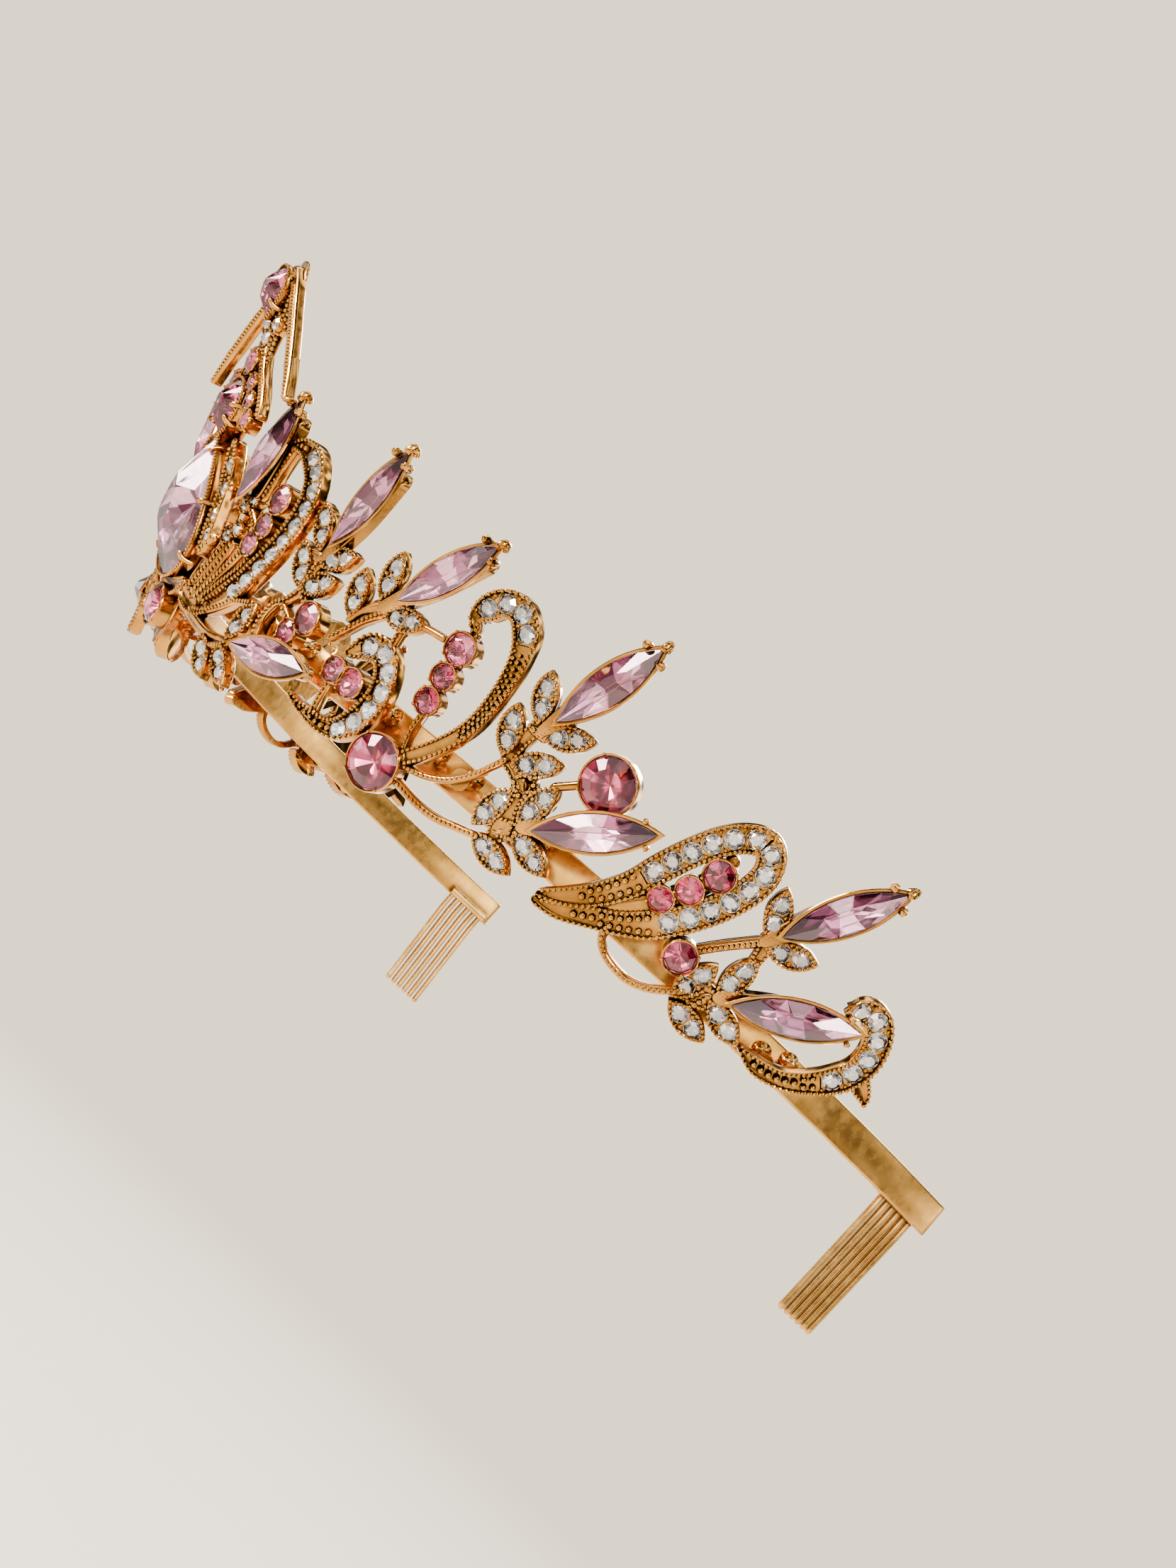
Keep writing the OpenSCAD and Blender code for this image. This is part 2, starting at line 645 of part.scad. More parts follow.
swan_s = 52;
swan_row = [[48.7, 19.4, 0.8], [48, 20.6, 1.8], [48.5, 22.2, row_w], [49.8, 23.7, row_w],
  [51.7, 24, row_w], [53.4, 22.5, row_w], [54.3, 20.1, 2.4], [54.7, 17.5, 2.1], [54.7, 14.6, 1.9],
  [54.4, 12, 1.8], [53.7, 9.7, 1.8], [52.5, 7.4, 1.8], [51.1, 5.4, 1.8], [49.6, 3.7, 1.6]];
swan_wires = [
  [[50, 3.2, 0.8], [53, 3.9, 0.75], [55.5, 5.3, 0.75], [57.4, 7.4, 0.75], [58.3, 9.3, 0.75]],
  [[50.4, 1.5, 1], [53.5, 1.1, 1], [56.5, 1.2, 1], [59.4, 2, 0.9]],
  [[48.8, 9.6, 0.8], [48.7, 7, 0.8], [49.1, 5, 0.8], [49.8, 3.8, 0.8]],
  [[48.7, 18.9, 1.2], [48.7, 14, 1.2], [48.8, 10.4, 1.2]]];
swan_cups = [[47.4, 1.7, large_d], [48.7, 17, mid_d], [48.8, 13.6, small_d], [48.8, 10.5, small_d]];
swan_seats = row_seats(swan_s, swan_row, 3.1, 4);

module swan() {
  casting(swan_s, 0, [swan_row], swan_wires, [], [], [], swan_cups, swan_seats,
    [[51.4, 5.8], [56.1, 5.9]]);
}

// ---- leaf: eight leaves in two whorls, a big round stone and two marquises ----

leaf_s = 63;
leaf_leaves = [[58.8, 18.6, 113], [57.9, 13.7, 111], [63.2, 16.8, 31], [62.2, 12.5, 36],
  [61.1, 6.2, 77], [64.8, 9.4, 76], [63.9, 2.2, -11], [67.2, 4.9, -15]];
leaf_wires = [
  [[60, 15.8, 1.8], [59.6, 13.6, 1.6], [59.4, 11.2, 1.8], [60.4, 10.6, 1.4], [62, 9.9, 1.6]],
  [[59.8, 15.2, 1.2], [61, 15.4, 1.6]],
  [[62.6, 9.8, 1.6], [62.9, 7.6, 1.3], [63.2, 5, 2.6], [63, 3.6, 1.6]],
  [[63, 5, 2.2], [64.4, 5.6, 2], [65.4, 5.6, 1.6]],
  [[65, 12, 1], [66, 13, 1], [67.2, 14.2, 1]]];
leaf_beds = [[[60.7, 15.8, 1.4], [62.4, 20.6, 2.8], [64.8, 27.4, 1.8]],
  [[65.1, 6.7, 1.6], [70.2, 10.6, 2.8], [75, 14.2, 1.8]]];
leaf_cups = [[69.3, 16, large_d]];
leaf_seats_all = leaf_seats(leaf_s, leaf_leaves);

module leaf_spray() {
  casting(leaf_s, 0, [], leaf_wires, leaf_beds, leaf_leaves, [[62.4, 10, 3]], leaf_cups,
    leaf_seats_all, [[62.9, 6.4], [67, 6.6]]);
}

// ---- paisley: closed loop of stones round three cups ----

paisley_s = 79;
paisley_rise = [[70.9, 2.7, 1.4], [73, 4.3, 2.1], [75.2, 6.6, 2.6], [77, 9.6, 2.8], [78.1, 12.8, row_w],
  [79.3, 16.1, row_w], [80.6, 18.9, row_w], [82.1, 21, row_w], [83.7, 22.1, row_w], [84.8, 22, 2.6]];
paisley_fall = [[83, 22, 2.2], [84.2, 22.2, row_w], [85.3, 21.5, row_w], [86, 20, row_w], [86, 17.8, row_w],
  [85.5, 15.6, row_w], [84.7, 13.5, row_w], [83.7, 11.5, row_w], [82.6, 9.7, row_w],
  [81.1, 7.8, row_w], [79, 6, 2.6], [76.4, 4.4, 2.4], [73.2, 2.6, 2], [70.9, 2, 1.4]];
paisley_wires = [
  [[82.9, 18.4, 1.6], [82.4, 15, 2.2], [81.2, 12, 2.4], [79.6, 9.2, 2.6], [77.6, 7, 2.2]],
  [[78, 4.6, 1.2], [78.6, 3, 0.9], [80.4, 2, 0.9], [83, 1.8, 0.9], [85.2, 2.6, 0.9]]];
paisley_cups = [[82.9, 16.6, mid_d - 0.2], [81.7, 13.4, small_d], [80.2, 10.7, small_d - 0.2]];
paisley_seats = concat(row_seats(paisley_s, paisley_rise, 12.2, 6),
  row_seats(paisley_s, paisley_fall, 2.5, 7));

module paisley() {
  casting(paisley_s, 0, [paisley_rise, paisley_fall], paisley_wires, [], [], [], paisley_cups, paisley_seats,
    [[75, 5.8], [79.4, 6.4]]);
}

// ---- end spray: six leaves, a cup and two marquises ----

end_spray_s = 92;
end_spray_leaves = [[89.5, 17.6, 113], [93.3, 15.4, 24], [91.1, 9.9, 84], [88.2, 6.6, 77],
  [90.5, 2.9, -8], [93.3, 5.4, -16]];
end_spray_wires = [
  [[90.6, 14.8, 1.8], [91, 13.6, 1.6], [91.2, 12.2, 1.4]],
  [[86, 8.8, 1.1], [88, 11.5, 1.1], [90.2, 14.2, 1.2]],
  [[88.6, 5, 1.4], [90, 6, 2.8], [91.4, 6, 1.8]],
  [[90.2, 6, 1.6], [89.6, 4.2, 1.6], [89.6, 3, 1.2]]];
end_spray_beds = [[[90.4, 14.8, 1.4], [92.6, 20, 2.8], [95.4, 25.8, 1.8]],
  [[91.2, 7.2, 1.6], [96.6, 10.6, 2.8], [101, 13.2, 1.8]]];
end_spray_cups = [[85.4, 7.6, mid_d]];
end_spray_seats = leaf_seats(end_spray_s, end_spray_leaves);

module end_spray() {
  casting(end_spray_s, 0, [], end_spray_wires, end_spray_beds, end_spray_leaves, [], end_spray_cups,
    end_spray_seats, [[89.2, 6], [92.2, 6]]);
}

// ---- end scroll: long low scroll that curls up round the last marquise ----

end_scroll_s = 103;
end_scroll_row = [[96.6, 4.7, 0.8], [98.8, 4.5, 1.9], [101, 4.9, 2.1], [102.8, 5.8, 2.3],
  [104.4, 7.3, 2.6], [105.8, 9.1, row_w], [106.6, 11.2, row_w], [106.5, 13.4, row_w],
  [105.5, 15.5, row_w], [104, 16.8, row_w], [102.4, 16.5, 2.8], [101.6, 15.2, 1]];
end_scroll_tail = [[106.6, 11.4, 2.4], [108.2, 10.6, 2.2], [109.4, 10, 1.4], [110, 9.4, 0.4]];
end_scroll_seats = row_seats(end_scroll_s, end_scroll_row, 10.9, 6);

module end_scroll() {
  casting(end_scroll_s, 0, [end_scroll_row], [end_scroll_tail], [], [], [], [], end_scroll_seats,
    [[99.6, 4.9], [102.6, 6]]);
}

// ---- marquise stones in their boat-shaped settings: [place, lift, s, h, angle] ----

marquises = [[wing_s, wing_lift, 10.7, 23.2, 78], [spray_s, 0, 28, 3.4, 10], [spray_s, 0, 30, 24.4, 72],
  [crescent_s, 0, 43.5, 22.7, 54], [leaf_s, 0, 63.6, 24.1, 71], [leaf_s, 0, 71.4, 11.5, 37],
  [end_spray_s, 0, 93.9, 22.6, 63], [end_spray_s, 0, 97.9, 11.3, 31]];

module navette_setting() {
  l = navette_l + 4 * cup_wall;
  w = navette_w + 2 * cup_wall;
  difference() {
    linear_extrude(navette_seat + girdle) oval(l, w);
    translate([0, 0, navette_seat])
      linear_extrude(navette_seat) oval(navette_l + 4 * seat_clear, navette_w + 2 * seat_clear);
    translate([0, 0, -navette_seat])
      linear_extrude(navette_seat * 3) oval(navette_l - 4 * ledge, navette_w - 2 * ledge);
  }
  for (x = [-1, 1], y = [-1, 1])
    translate([x * navette_l * 0.41, y * (navette_w * 0.17 + cup_wall + claw_d / 2), 0]) {
      cylinder(d = claw_d, h = navette_seat + claw_rise, $fn = 24);
      translate([0, 0, navette_seat + claw_rise]) sphere(d = claw_d, $fn = 24);
    }
}

module at_marquises(extra) {
  for (m = marquises)
    place(m[0], m[1] + bed_h + extra)
      translate(flat(m[0], [m[2], m[3]]))
        rotate(m[4])
          children();
}

module navette_settings() {
  color(gold)
    at_marquises(0) navette_setting();
}

module navettes() {
  color(lilac)
    at_marquises(navette_seat) navette();
}

module large_rounds() {
  rounds_at(swan_s, 0, [swan_cups[0]]);
  rounds_at(leaf_s, 0, leaf_cups);
}

module small_rounds() {
  rounds_at(wing_s, wing_lift, wing_cups);
  rounds_at(spray_s, 0, spray_cups);
  rounds_at(crescent_s, 0, crescent_cups);
  rounds_at(swan_s, 0, [for (i = [1 : 3]) swan_cups[i]]);
  rounds_at(paisley_s, 0, paisley_cups);
  rounds_at(end_spray_s, 0, end_spray_cups);
}

// ---- clear stones of each casting ----

module wing_chatons() {
  clear_stones(wing_s, wing_lift, wing_seats);
}

module spray_chatons() {
  clear_stones(spray_s, 0, spray_seats);
}

module crescent_chatons() {
  clear_stones(crescent_s, 0, crescent_seats);
}

module swan_chatons() {
  clear_stones(swan_s, 0, swan_seats);
}

module leaf_chatons() {
  clear_stones(leaf_s, 0, leaf_seats_all);
}

module paisley_chatons() {
  clear_stones(paisley_s, 0, paisley_seats);
}

module end_spray_chatons() {
  clear_stones(end_spray_s, 0, end_spray_seats);
}

module end_scroll_chatons() {
  clear_stones(end_scroll_s, 0, end_scroll_seats);
}

// ---- nodes ----

headband();
crest();
pear_setting();
upper_setting();
apex_setting();
foot_setting();
pear_stone();
upper_stone();
apex_stone();
foot_stone();
crest_rounds();
crest_chatons();
hand(1) comb();  // comb_right
hand(-1) comb();  // comb_left
hand(1) wing();  // wing_right
hand(-1) wing();  // wing_left
hand(1) spray();  // spray_right
hand(-1) spray();  // spray_left
hand(1) crescent();  // crescent_right
hand(-1) crescent();  // crescent_left
hand(1) swan();  // swan_right
hand(-1) swan();  // swan_left
hand(1) leaf_spray();  // leaf_right
hand(-1) leaf_spray();  // leaf_left
hand(1) paisley();  // paisley_right
hand(-1) paisley();  // paisley_left
hand(1) end_spray();  // end_spray_right
hand(-1) end_spray();  // end_spray_left
hand(1) end_scroll();  // end_scroll_right
hand(-1) end_scroll();  // end_scroll_left
hand(1) navette_settings();  // navette_settings_right
hand(-1) navette_settings();  // navette_settings_left
hand(1) navettes();  // navettes_right
hand(-1) navettes();  // navettes_left
hand(1) large_rounds();  // large_rounds_right
hand(-1) large_rounds();  // large_rounds_left
hand(1) small_rounds();  // small_rounds_right
hand(-1) small_rounds();  // small_rounds_left
hand(1) wing_chatons();  // wing_chatons_right
hand(-1) wing_chatons();  // wing_chatons_left
hand(1) spray_chatons();  // spray_chatons_right
hand(-1) spray_chatons();  // spray_chatons_left
hand(1) crescent_chatons();  // crescent_chatons_right
hand(-1) crescent_chatons();  // crescent_chatons_left
hand(1) swan_chatons();  // swan_chatons_right
hand(-1) swan_chatons();  // swan_chatons_left
hand(1) leaf_chatons();  // leaf_chatons_right
hand(-1) leaf_chatons();  // leaf_chatons_left
hand(1) paisley_chatons();  // paisley_chatons_right
hand(-1) paisley_chatons();  // paisley_chatons_left
hand(1) end_spray_chatons();  // end_spray_chatons_right
hand(-1) end_spray_chatons();  // end_spray_chatons_left
hand(1) end_scroll_chatons();  // end_scroll_chatons_right
hand(-1) end_scroll_chatons();  // end_scroll_chatons_left
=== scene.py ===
"""Bridal tiara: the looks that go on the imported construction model.

Every length is in millimetres until a piece is made, and every piece is made in
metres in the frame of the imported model. X is the wearer's left-right axis, -Y is
the front and +Z is up. A point of the filigree is given as [s, h]: s runs along
the foot line from the front centre and h climbs the flared surface.
"""

import logging
import math
from dataclasses import dataclass
from enum import Enum
from typing import Callable, List, Optional, Sequence, Tuple, Union

import bpy
import numpy as np
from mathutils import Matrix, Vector


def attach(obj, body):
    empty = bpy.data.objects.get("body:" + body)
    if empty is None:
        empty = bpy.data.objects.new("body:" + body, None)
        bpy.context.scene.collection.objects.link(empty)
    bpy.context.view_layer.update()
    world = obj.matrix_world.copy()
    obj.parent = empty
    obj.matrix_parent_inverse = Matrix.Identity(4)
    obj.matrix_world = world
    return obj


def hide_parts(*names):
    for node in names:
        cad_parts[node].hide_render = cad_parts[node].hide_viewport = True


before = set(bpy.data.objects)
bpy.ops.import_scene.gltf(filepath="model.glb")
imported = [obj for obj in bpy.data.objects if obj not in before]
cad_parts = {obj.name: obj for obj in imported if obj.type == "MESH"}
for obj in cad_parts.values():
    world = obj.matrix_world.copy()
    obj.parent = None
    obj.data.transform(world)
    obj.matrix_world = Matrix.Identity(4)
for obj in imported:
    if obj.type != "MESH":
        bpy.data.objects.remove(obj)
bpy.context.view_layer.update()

LOG = logging.getLogger("tiara")
MM = 0.001
SEED = 11
SHARP = 42.0          # edges steeper than this many degrees stay crisp
DROP_WIDE = 1.262     # makes a teardrop's widest place as wide as asked
DROP_POWER = 1.15     # how fast a teardrop narrows towards its point
PIT_Z = -0.98         # bottom of a stone's pit
CHATON_Z = -0.1       # height of a chaton's girdle
GRAIN_Z = 0.12        # height of the grains on a wire
BIG_ROUND = 4.0       # round stones from this width have more facets
LIP_Z = 0.32          # height of the grains on a channel's lips
BEAD_PITCH, TWIN_PITCH, ROPE_PITCH = 0.58, 0.52, 0.6     # spacing of the grains on a wire
BALL_PITCH, PAVE_PITCH = 0.98, 0.72                      # spacing of the grains in a channel
FULL_WIDTH = 1.4      # a narrower wire has a shrunk section
BALL_CLAW, SMALL_CLAW = 0.58, 0.38                       # radii of a marquise's claws
CUP_STEP, FOOT_STEP, CHATON_STEP = 11.0, 13.0, 17.0      # degrees from one stone's turn to the next
DRIFT, SCUFF, PORES = 210.0, 900.0, 1100.0               # patterns in gold, in cycles per metre
TINTS, WIPES, CLOUDS = 160.0, 1400.0, 700.0              # patterns in stones, in cycles per metre

Array = np.ndarray
Pair = Tuple[float, float]
Triple = Tuple[float, float, float]
Line = Tuple[Triple, ...]                       # rows of s, h and width
Faces = Tuple[Array, int, bool]                 # corners, finish, smooth shading
Solid = Tuple[Array, List[Array]]               # points and faces
Form = Tuple[Array, List[Tuple[Array, int]]]    # points, and faces with their finish
Outline = Callable[[Array], Array]              # plane points for angles from 0 to 2 pi


# ---- the tiara's sizes, as in the construction ----

@dataclass(frozen=True)
class Sizes:
    """Driving sizes of the tiara, in millimetres and degrees."""

    side_r: float = 75.0
    front_r: float = 110.0
    front_len: float = 21.5
    nose_r: float = 34.0
    nose_len: float = 6.2
    flare: float = 18.2
    crest_lean: float = 22.0
    crest_hold: float = 6.0
    crest_lift: float = 0.6
    band_w: float = 4.0
    band_t: float = 1.0
    band_inset: float = 1.7
    band_rise: float = 4.1
    band_reach: float = 131.5
    chaton_d: float = 2.1
    pad_d: float = 1.6
    navette_l: float = 13.6
    navette_w: float = 3.9
    large_d: float = 6.0
    mid_d: float = 3.4
    small_d: float = 2.7
    petit_d: float = 2.3
    pear_l: float = 17.4
    pear_w: float = 12.4
    upper_l: float = 7.0
    upper_w: float = 5.6
    apex_l: float = 6.2
    apex_w: float = 4.6
    foot_d: float = 5.0
    plate_t: float = 1.2
    rim_w: float = 0.35
    cup_wall: float = 0.45
    cup_h: float = 0.9
    cup_seat: float = 0.55
    post_d: float = 1.6
    bed_h: float = 0.45
    navette_seat: float = 0.9
    drop_seat: float = 0.9
    claw_d: float = 0.8
    comb_teeth: int = 6
    tooth_pitch: float = 1.2
    tooth_d: float = 0.8
    tooth_l: float = 17.0
    tooth_bend: float = 3.0
    comb_end: float = 0.6
    comb_t: float = 1.1
    comb_bar: float = 1.4

    @property
    def comb_s(self) -> float:
        """Middle of a comb along the foot line."""
        return self.band_reach - self.comb_end - self.tooth_pitch * self.comb_teeth / 2

    @property
    def leaf_w(self) -> float:
        """Width of a leaf that holds two chatons."""
        return self.chaton_d + 2 * (self.rim_w + 0.05)

    @property
    def leaf_l(self) -> float:
        """Length of a leaf that holds two chatons."""
        return 2 * (self.chaton_d + 0.9)

    @property
    def row_w(self) -> float:
        """Width of a channel that holds one row of chatons."""
        return self.chaton_d + 2 * (self.rim_w + 0.15)

    @property
    def seat_pitch(self) -> float:
        """Spacing of the chatons in a row."""
        return self.chaton_d + 0.16

    @property
    def foot_z(self) -> float:
        """Height of the foot line."""
        return -(self.band_rise + self.band_w / 2)


SIZE = Sizes()
ROW = SIZE.row_w
LARGE, MID, SMALL, PETIT = SIZE.large_d, SIZE.mid_d, SIZE.small_d, SIZE.petit_d


class Milling(Enum):
    """How the face of a cast wire is finished."""

    PLAIN = "smooth half-round"
    BEAD = "one row of grains on a half-round"
    TWIN = "a row of grains along each edge"
    ROPE = "slanted grains over the whole width"
    LOW = "a thin plate that carries other work"


PLAIN, BEAD, TWIN, ROPE, LOW = Milling


# ---- where things stand ----

@dataclass(frozen=True)
class Plate:
    """A flat casting's own plane: origin, three axes and the arc it touches."""

    origin: Array
    along: Array
    up: Array
    out: Array
    s: float = 0.0
    radius: float = 0.0

    def flat(self, sh: Array) -> Array:
        """Turn [s, h] points into plane points.

        The surface is a cone whose side leans by the flare. A point's angle from
        the plate's centre is (s - centre) / radius; its distance from the axis is
        radius + h * sin(flare). The plane point is the foot of the perpendicular.

        Args:
            sh: Points, two columns or more; further columns are dropped.

        Returns:
            Plane points, two columns.
        """
        sh = np.atleast_2d(np.asarray(sh, float))
        if self.radius == 0.0:
            return sh[:, :2].copy()
        lean = math.radians(SIZE.flare)
        turn = (sh[:, 0] - self.s) / self.radius
        reach = self.radius + sh[:, 1] * math.sin(lean)
        return np.stack([reach * np.sin(turn),
                         reach * np.cos(turn) * math.sin(lean) + sh[:, 1] * math.cos(lean) ** 2
                         - self.radius * math.sin(lean)], 1)

    def place(self, points: Array) -> Array:
        """Carry plane points (x, y, out) to the tiara's frame.

        Args:
            points: Three columns.

        Returns:
            The same points as origin + x * along + y * up + out * normal.
        """
        return self.origin + points @ np.stack([self.along, self.up, self.out])


@dataclass(frozen=True)
class Plan:
    """The foot line: a short nose arc, two flatter front arcs and two side arcs."""

    size: Sizes = SIZE

    def turn(self, s: Array) -> Array:
        """Direction of the foot line at s: the arc lengths divided by their radii."""
        z = self.size
        s = np.asarray(s, float)
        nose = np.minimum(s, z.nose_len) / z.nose_r
        front = np.clip(s - z.nose_len, 0, z.front_len - z.nose_len) / z.front_r
        return nose + front + np.maximum(s - z.front_len, 0) / z.side_r

    def radius(self, s: Array) -> Array:
        """Radius of the arc that s lies on."""
        z = self.size
        s = np.asarray(s, float)
        return np.where(s <= z.nose_len, z.nose_r, np.where(s <= z.front_len, z.front_r, z.side_r))

    def centre(self, s: Array) -> Array:
        """Centre of the arc that s lies on.

        Each centre lies on the line from its neighbour's centre through the point
        where the two arcs meet, so the line has no corner.

        Args:
            s: Places along the foot line.

        Returns:
            Two columns, x and y.
        """
        z = self.size
        t1 = float(self.turn(z.nose_len))
        t2 = float(self.turn(z.front_len))
        front = np.array([(z.nose_r - z.front_r) * math.sin(t1), (z.front_r - z.side_r) * math.cos(t2)])
        nose = np.array([0.0, front[1] + (z.nose_r - z.front_r) * math.cos(t1)])
        side = np.array([front[0] + (z.front_r - z.side_r) * math.sin(t2), 0.0])
        s = np.asarray(s, float)[..., None]
        return np.where(s <= z.nose_len, nose, np.where(s <= z.front_len, front, side))

    def point(self, s: Array, inset: Array, z: Array) -> Array:
        """Points at s, some way inside the foot line: centre + (radius - inset) * radial.

        Args:
            s: Signed places; negative ones are the mirror image on the left.
            inset: Distance inside the foot line.
            z: Heights.

        Returns:
            Three columns.
        """
        s, inset, z = np.broadcast_arrays(np.asarray(s, float), inset, z)
        a, c = self.turn(np.abs(s)), self.centre(np.abs(s))
        r = self.radius(np.abs(s)) - inset
        sign = np.where(s < 0, -1.0, 1.0)
        return np.stack([sign * (c[..., 0] + r * np.sin(a)), c[..., 1] - r * np.cos(a), z], -1)

    def plate(self, s: float, lift: float) -> Plate:
        """The plane that touches the flared surface at s, raised by lift."""
        lean, a = math.radians(self.size.flare), float(self.turn(s))
        radial = np.array([math.sin(a), -math.cos(a), 0.0])
        rise = np.array([0.0, 0.0, 1.0])
        along = np.array([math.cos(a), math.sin(a), 0.0])
        up = radial * math.sin(lean) + rise * math.cos(lean)
        out = radial * math.cos(lean) - rise * math.sin(lean)
        foot = self.point(s, 0.0, self.size.foot_z)
        return Plate(foot + out * lift, along, up, out, s, float(self.radius(s)))

    def crest_plate(self) -> Plate:
        """The crest's own plane, which leans more and stands in front of the wings."""
        z = self.size
        lean, tilt = math.radians(z.flare), math.radians(z.crest_lean)
        hinge = self.point(0.0, 0.0, z.foot_z) + z.crest_hold * np.array([0, -math.sin(lean), math.cos(lean)])
        up = np.array([0.0, -math.sin(tilt), math.cos(tilt)])
        out = np.array([0.0, -math.cos(tilt), -math.sin(tilt)])
        return Plate(hinge - up * z.crest_hold + out * z.crest_lift, np.array([1.0, 0, 0]), up, out)


PLAN = Plan()


# ---- plane curves ----

def smooth_line(points: Sequence[Sequence[float]], step: float = 0.3) -> Array:
    """A smooth line through given points, resampled at an even step.

    Between two points it is the cubic whose slopes at both are half the chord of
    their neighbours. All columns, such as a width, are carried along.

    Args:
        points: Rows whose first two columns are the place.
        step: Distance between samples.

    Returns:
        The samples, with the same columns.
    """
    p = np.asarray(points, float)
    pad = np.concatenate([p[:1], p, p[-1:]])
    a, b, c, d = pad[:-3, None], pad[1:-2, None], pad[2:-1, None], pad[3:, None]
    t = (np.arange(12) / 12)[None, :, None]
    q = 0.5 * (2 * b + (c - a) * t + (2 * a - 5 * b + 4 * c - d) * t ** 2 + (3 * b - a - 3 * c + d) * t ** 3)
    q = np.concatenate([q.reshape(-1, p.shape[1]), p[-1:]])
    run = arc_lengths(q)
    n = max(int(run[-1] / step), 3)
    at = np.linspace(0, run[-1], n + 1)
    return np.stack([np.interp(at, run, q[:, k]) for k in range(q.shape[1])], 1)


def plane_line(line: Line, plate: Plate) -> Array:
    """The smooth line through points [s, h, width] on a plate: rows of x, y and width."""
    p = np.asarray(line, float)
    return smooth_line(np.column_stack([plate.flat(p), p[:, 2]]))


def arc_lengths(line: Array) -> Array:
    """Distance along a plane line to each of its points."""
    return np.concatenate([[0.0], np.cumsum(np.linalg.norm(np.diff(line[:, :2], axis=0), axis=1))])


def side_ways(line: Array) -> Array:
    """Unit vectors across a plane line, to its left."""
    d = np.gradient(line[:, :2], axis=0)
    d /= np.maximum(np.linalg.norm(d, axis=1), 1e-9)[:, None]
    return np.stack([-d[:, 1], d[:, 0]], 1)


def along_line(line: Array, at: Array) -> Array:
    """Rows of a line at given distances along it."""
    run = arc_lengths(line)
    return np.stack([np.interp(at, run, line[:, k]) for k in range(line.shape[1])], 1)


def beside(line: Array, at: Array, off: Array) -> Array:
    """Plane points at given distances along a line and offsets to its left."""
    run, side = arc_lengths(line), side_ways(line)
    off = np.broadcast_to(np.asarray(off, float), np.shape(at))
    return np.stack([np.interp(at, run, line[:, k]) + off * np.interp(at, run, side[:, k])
                     for k in (0, 1)], 1)


def even_steps(line: Array, pitch: float, shift: float = 0.0) -> Array:
    """Distances along a line that are about pitch apart and fill it."""
    length = arc_lengths(line)[-1]
    n = max(int(round((length - 2 * shift) / pitch)), 1)
    return np.linspace(shift, length - shift, n + 1)


def arc_radius(l: float, w: float) -> float:
    """Radius of the two arcs of a pointed oval: (l^2 + w^2) / 4w."""
    return (l * l + w * w) / (4 * w)


def oval_edge(l: float, w: float, inset: float = 0.0, n: int = 18) -> Array:
    """Pointed oval of two equal arcs, drawn in by inset.

    Drawing in keeps the two centres and takes inset off the radius.

    Args:
        l: Length along x.
        w: Width along y.
        inset: How far the edge is drawn in.
        n: Points on each arc.

    Returns:
        2n points, counter-clockwise from the right tip.
    """
    r = arc_radius(l, w)
    reach = math.acos(min((r - w / 2) / max(r - inset, 1e-6), 1.0))
    t = np.linspace(reach, -reach, n + 1)[:-1]
    top = np.stack([(r - inset) * np.sin(t), w / 2 - r + (r - inset) * np.cos(t)], 1)
    return np.concatenate([top, -top])


def circle(n: int, r: float, start: float = 0.0) -> Array:
    """Points of a circle, counter-clockwise from an angle in radians."""
    t = start + np.arange(n) * 2 * math.pi / n
    return r * np.stack([np.cos(t), np.sin(t)], 1)


def add_column(rows: Array, value: float) -> Array:
    """The rows with one more column that holds the same value everywhere."""
    return np.column_stack([rows, np.full(len(rows), value)])


def drop_points(t: Array, l: float, w: float) -> Array:
    """Teardrop points, point up: w/2 * 1.262 * sin(t) * sin(t/2)^1.15 against l/2 * cos(t)."""
    wide = -w / 2 * DROP_WIDE * np.sin(t) * np.abs(np.sin(t / 2)) ** DROP_POWER
    return np.stack([wide, l / 2 * np.cos(t)], 1)


def drop_edge(l: float, w: float, inset: float = 0.0, n: int = 40) -> Array:
    """Teardrop with its point up, counter-clockwise from the point.

    Args:
        l: Length along y.
        w: Width along x.
        inset: How far each side is drawn in.
        n: Number of points.

    Returns:
        n points.
    """
    t = np.arange(n) * 2 * math.pi / n
    return drop_points(t, l - 2 * inset, w - 2 * inset)


def turned(points: Array, degrees: float, at: Array) -> Array:
    """Plane points turned about the origin, then moved."""
    a = math.radians(degrees)
    c, s = math.cos(a), math.sin(a)
    xy = points[:, :2] @ np.array([[c, s], [-s, c]]) + np.asarray(at)[:2]
    return np.concatenate([xy, points[:, 2:]], 1)


def link(name: str, data: bpy.types.ID) -> bpy.types.Object:
    """A new object with its data, in the scene's collection."""
    made = bpy.data.objects.new(name, data)
    bpy.context.scene.collection.objects.link(made)
    return made


# ---- shells ----

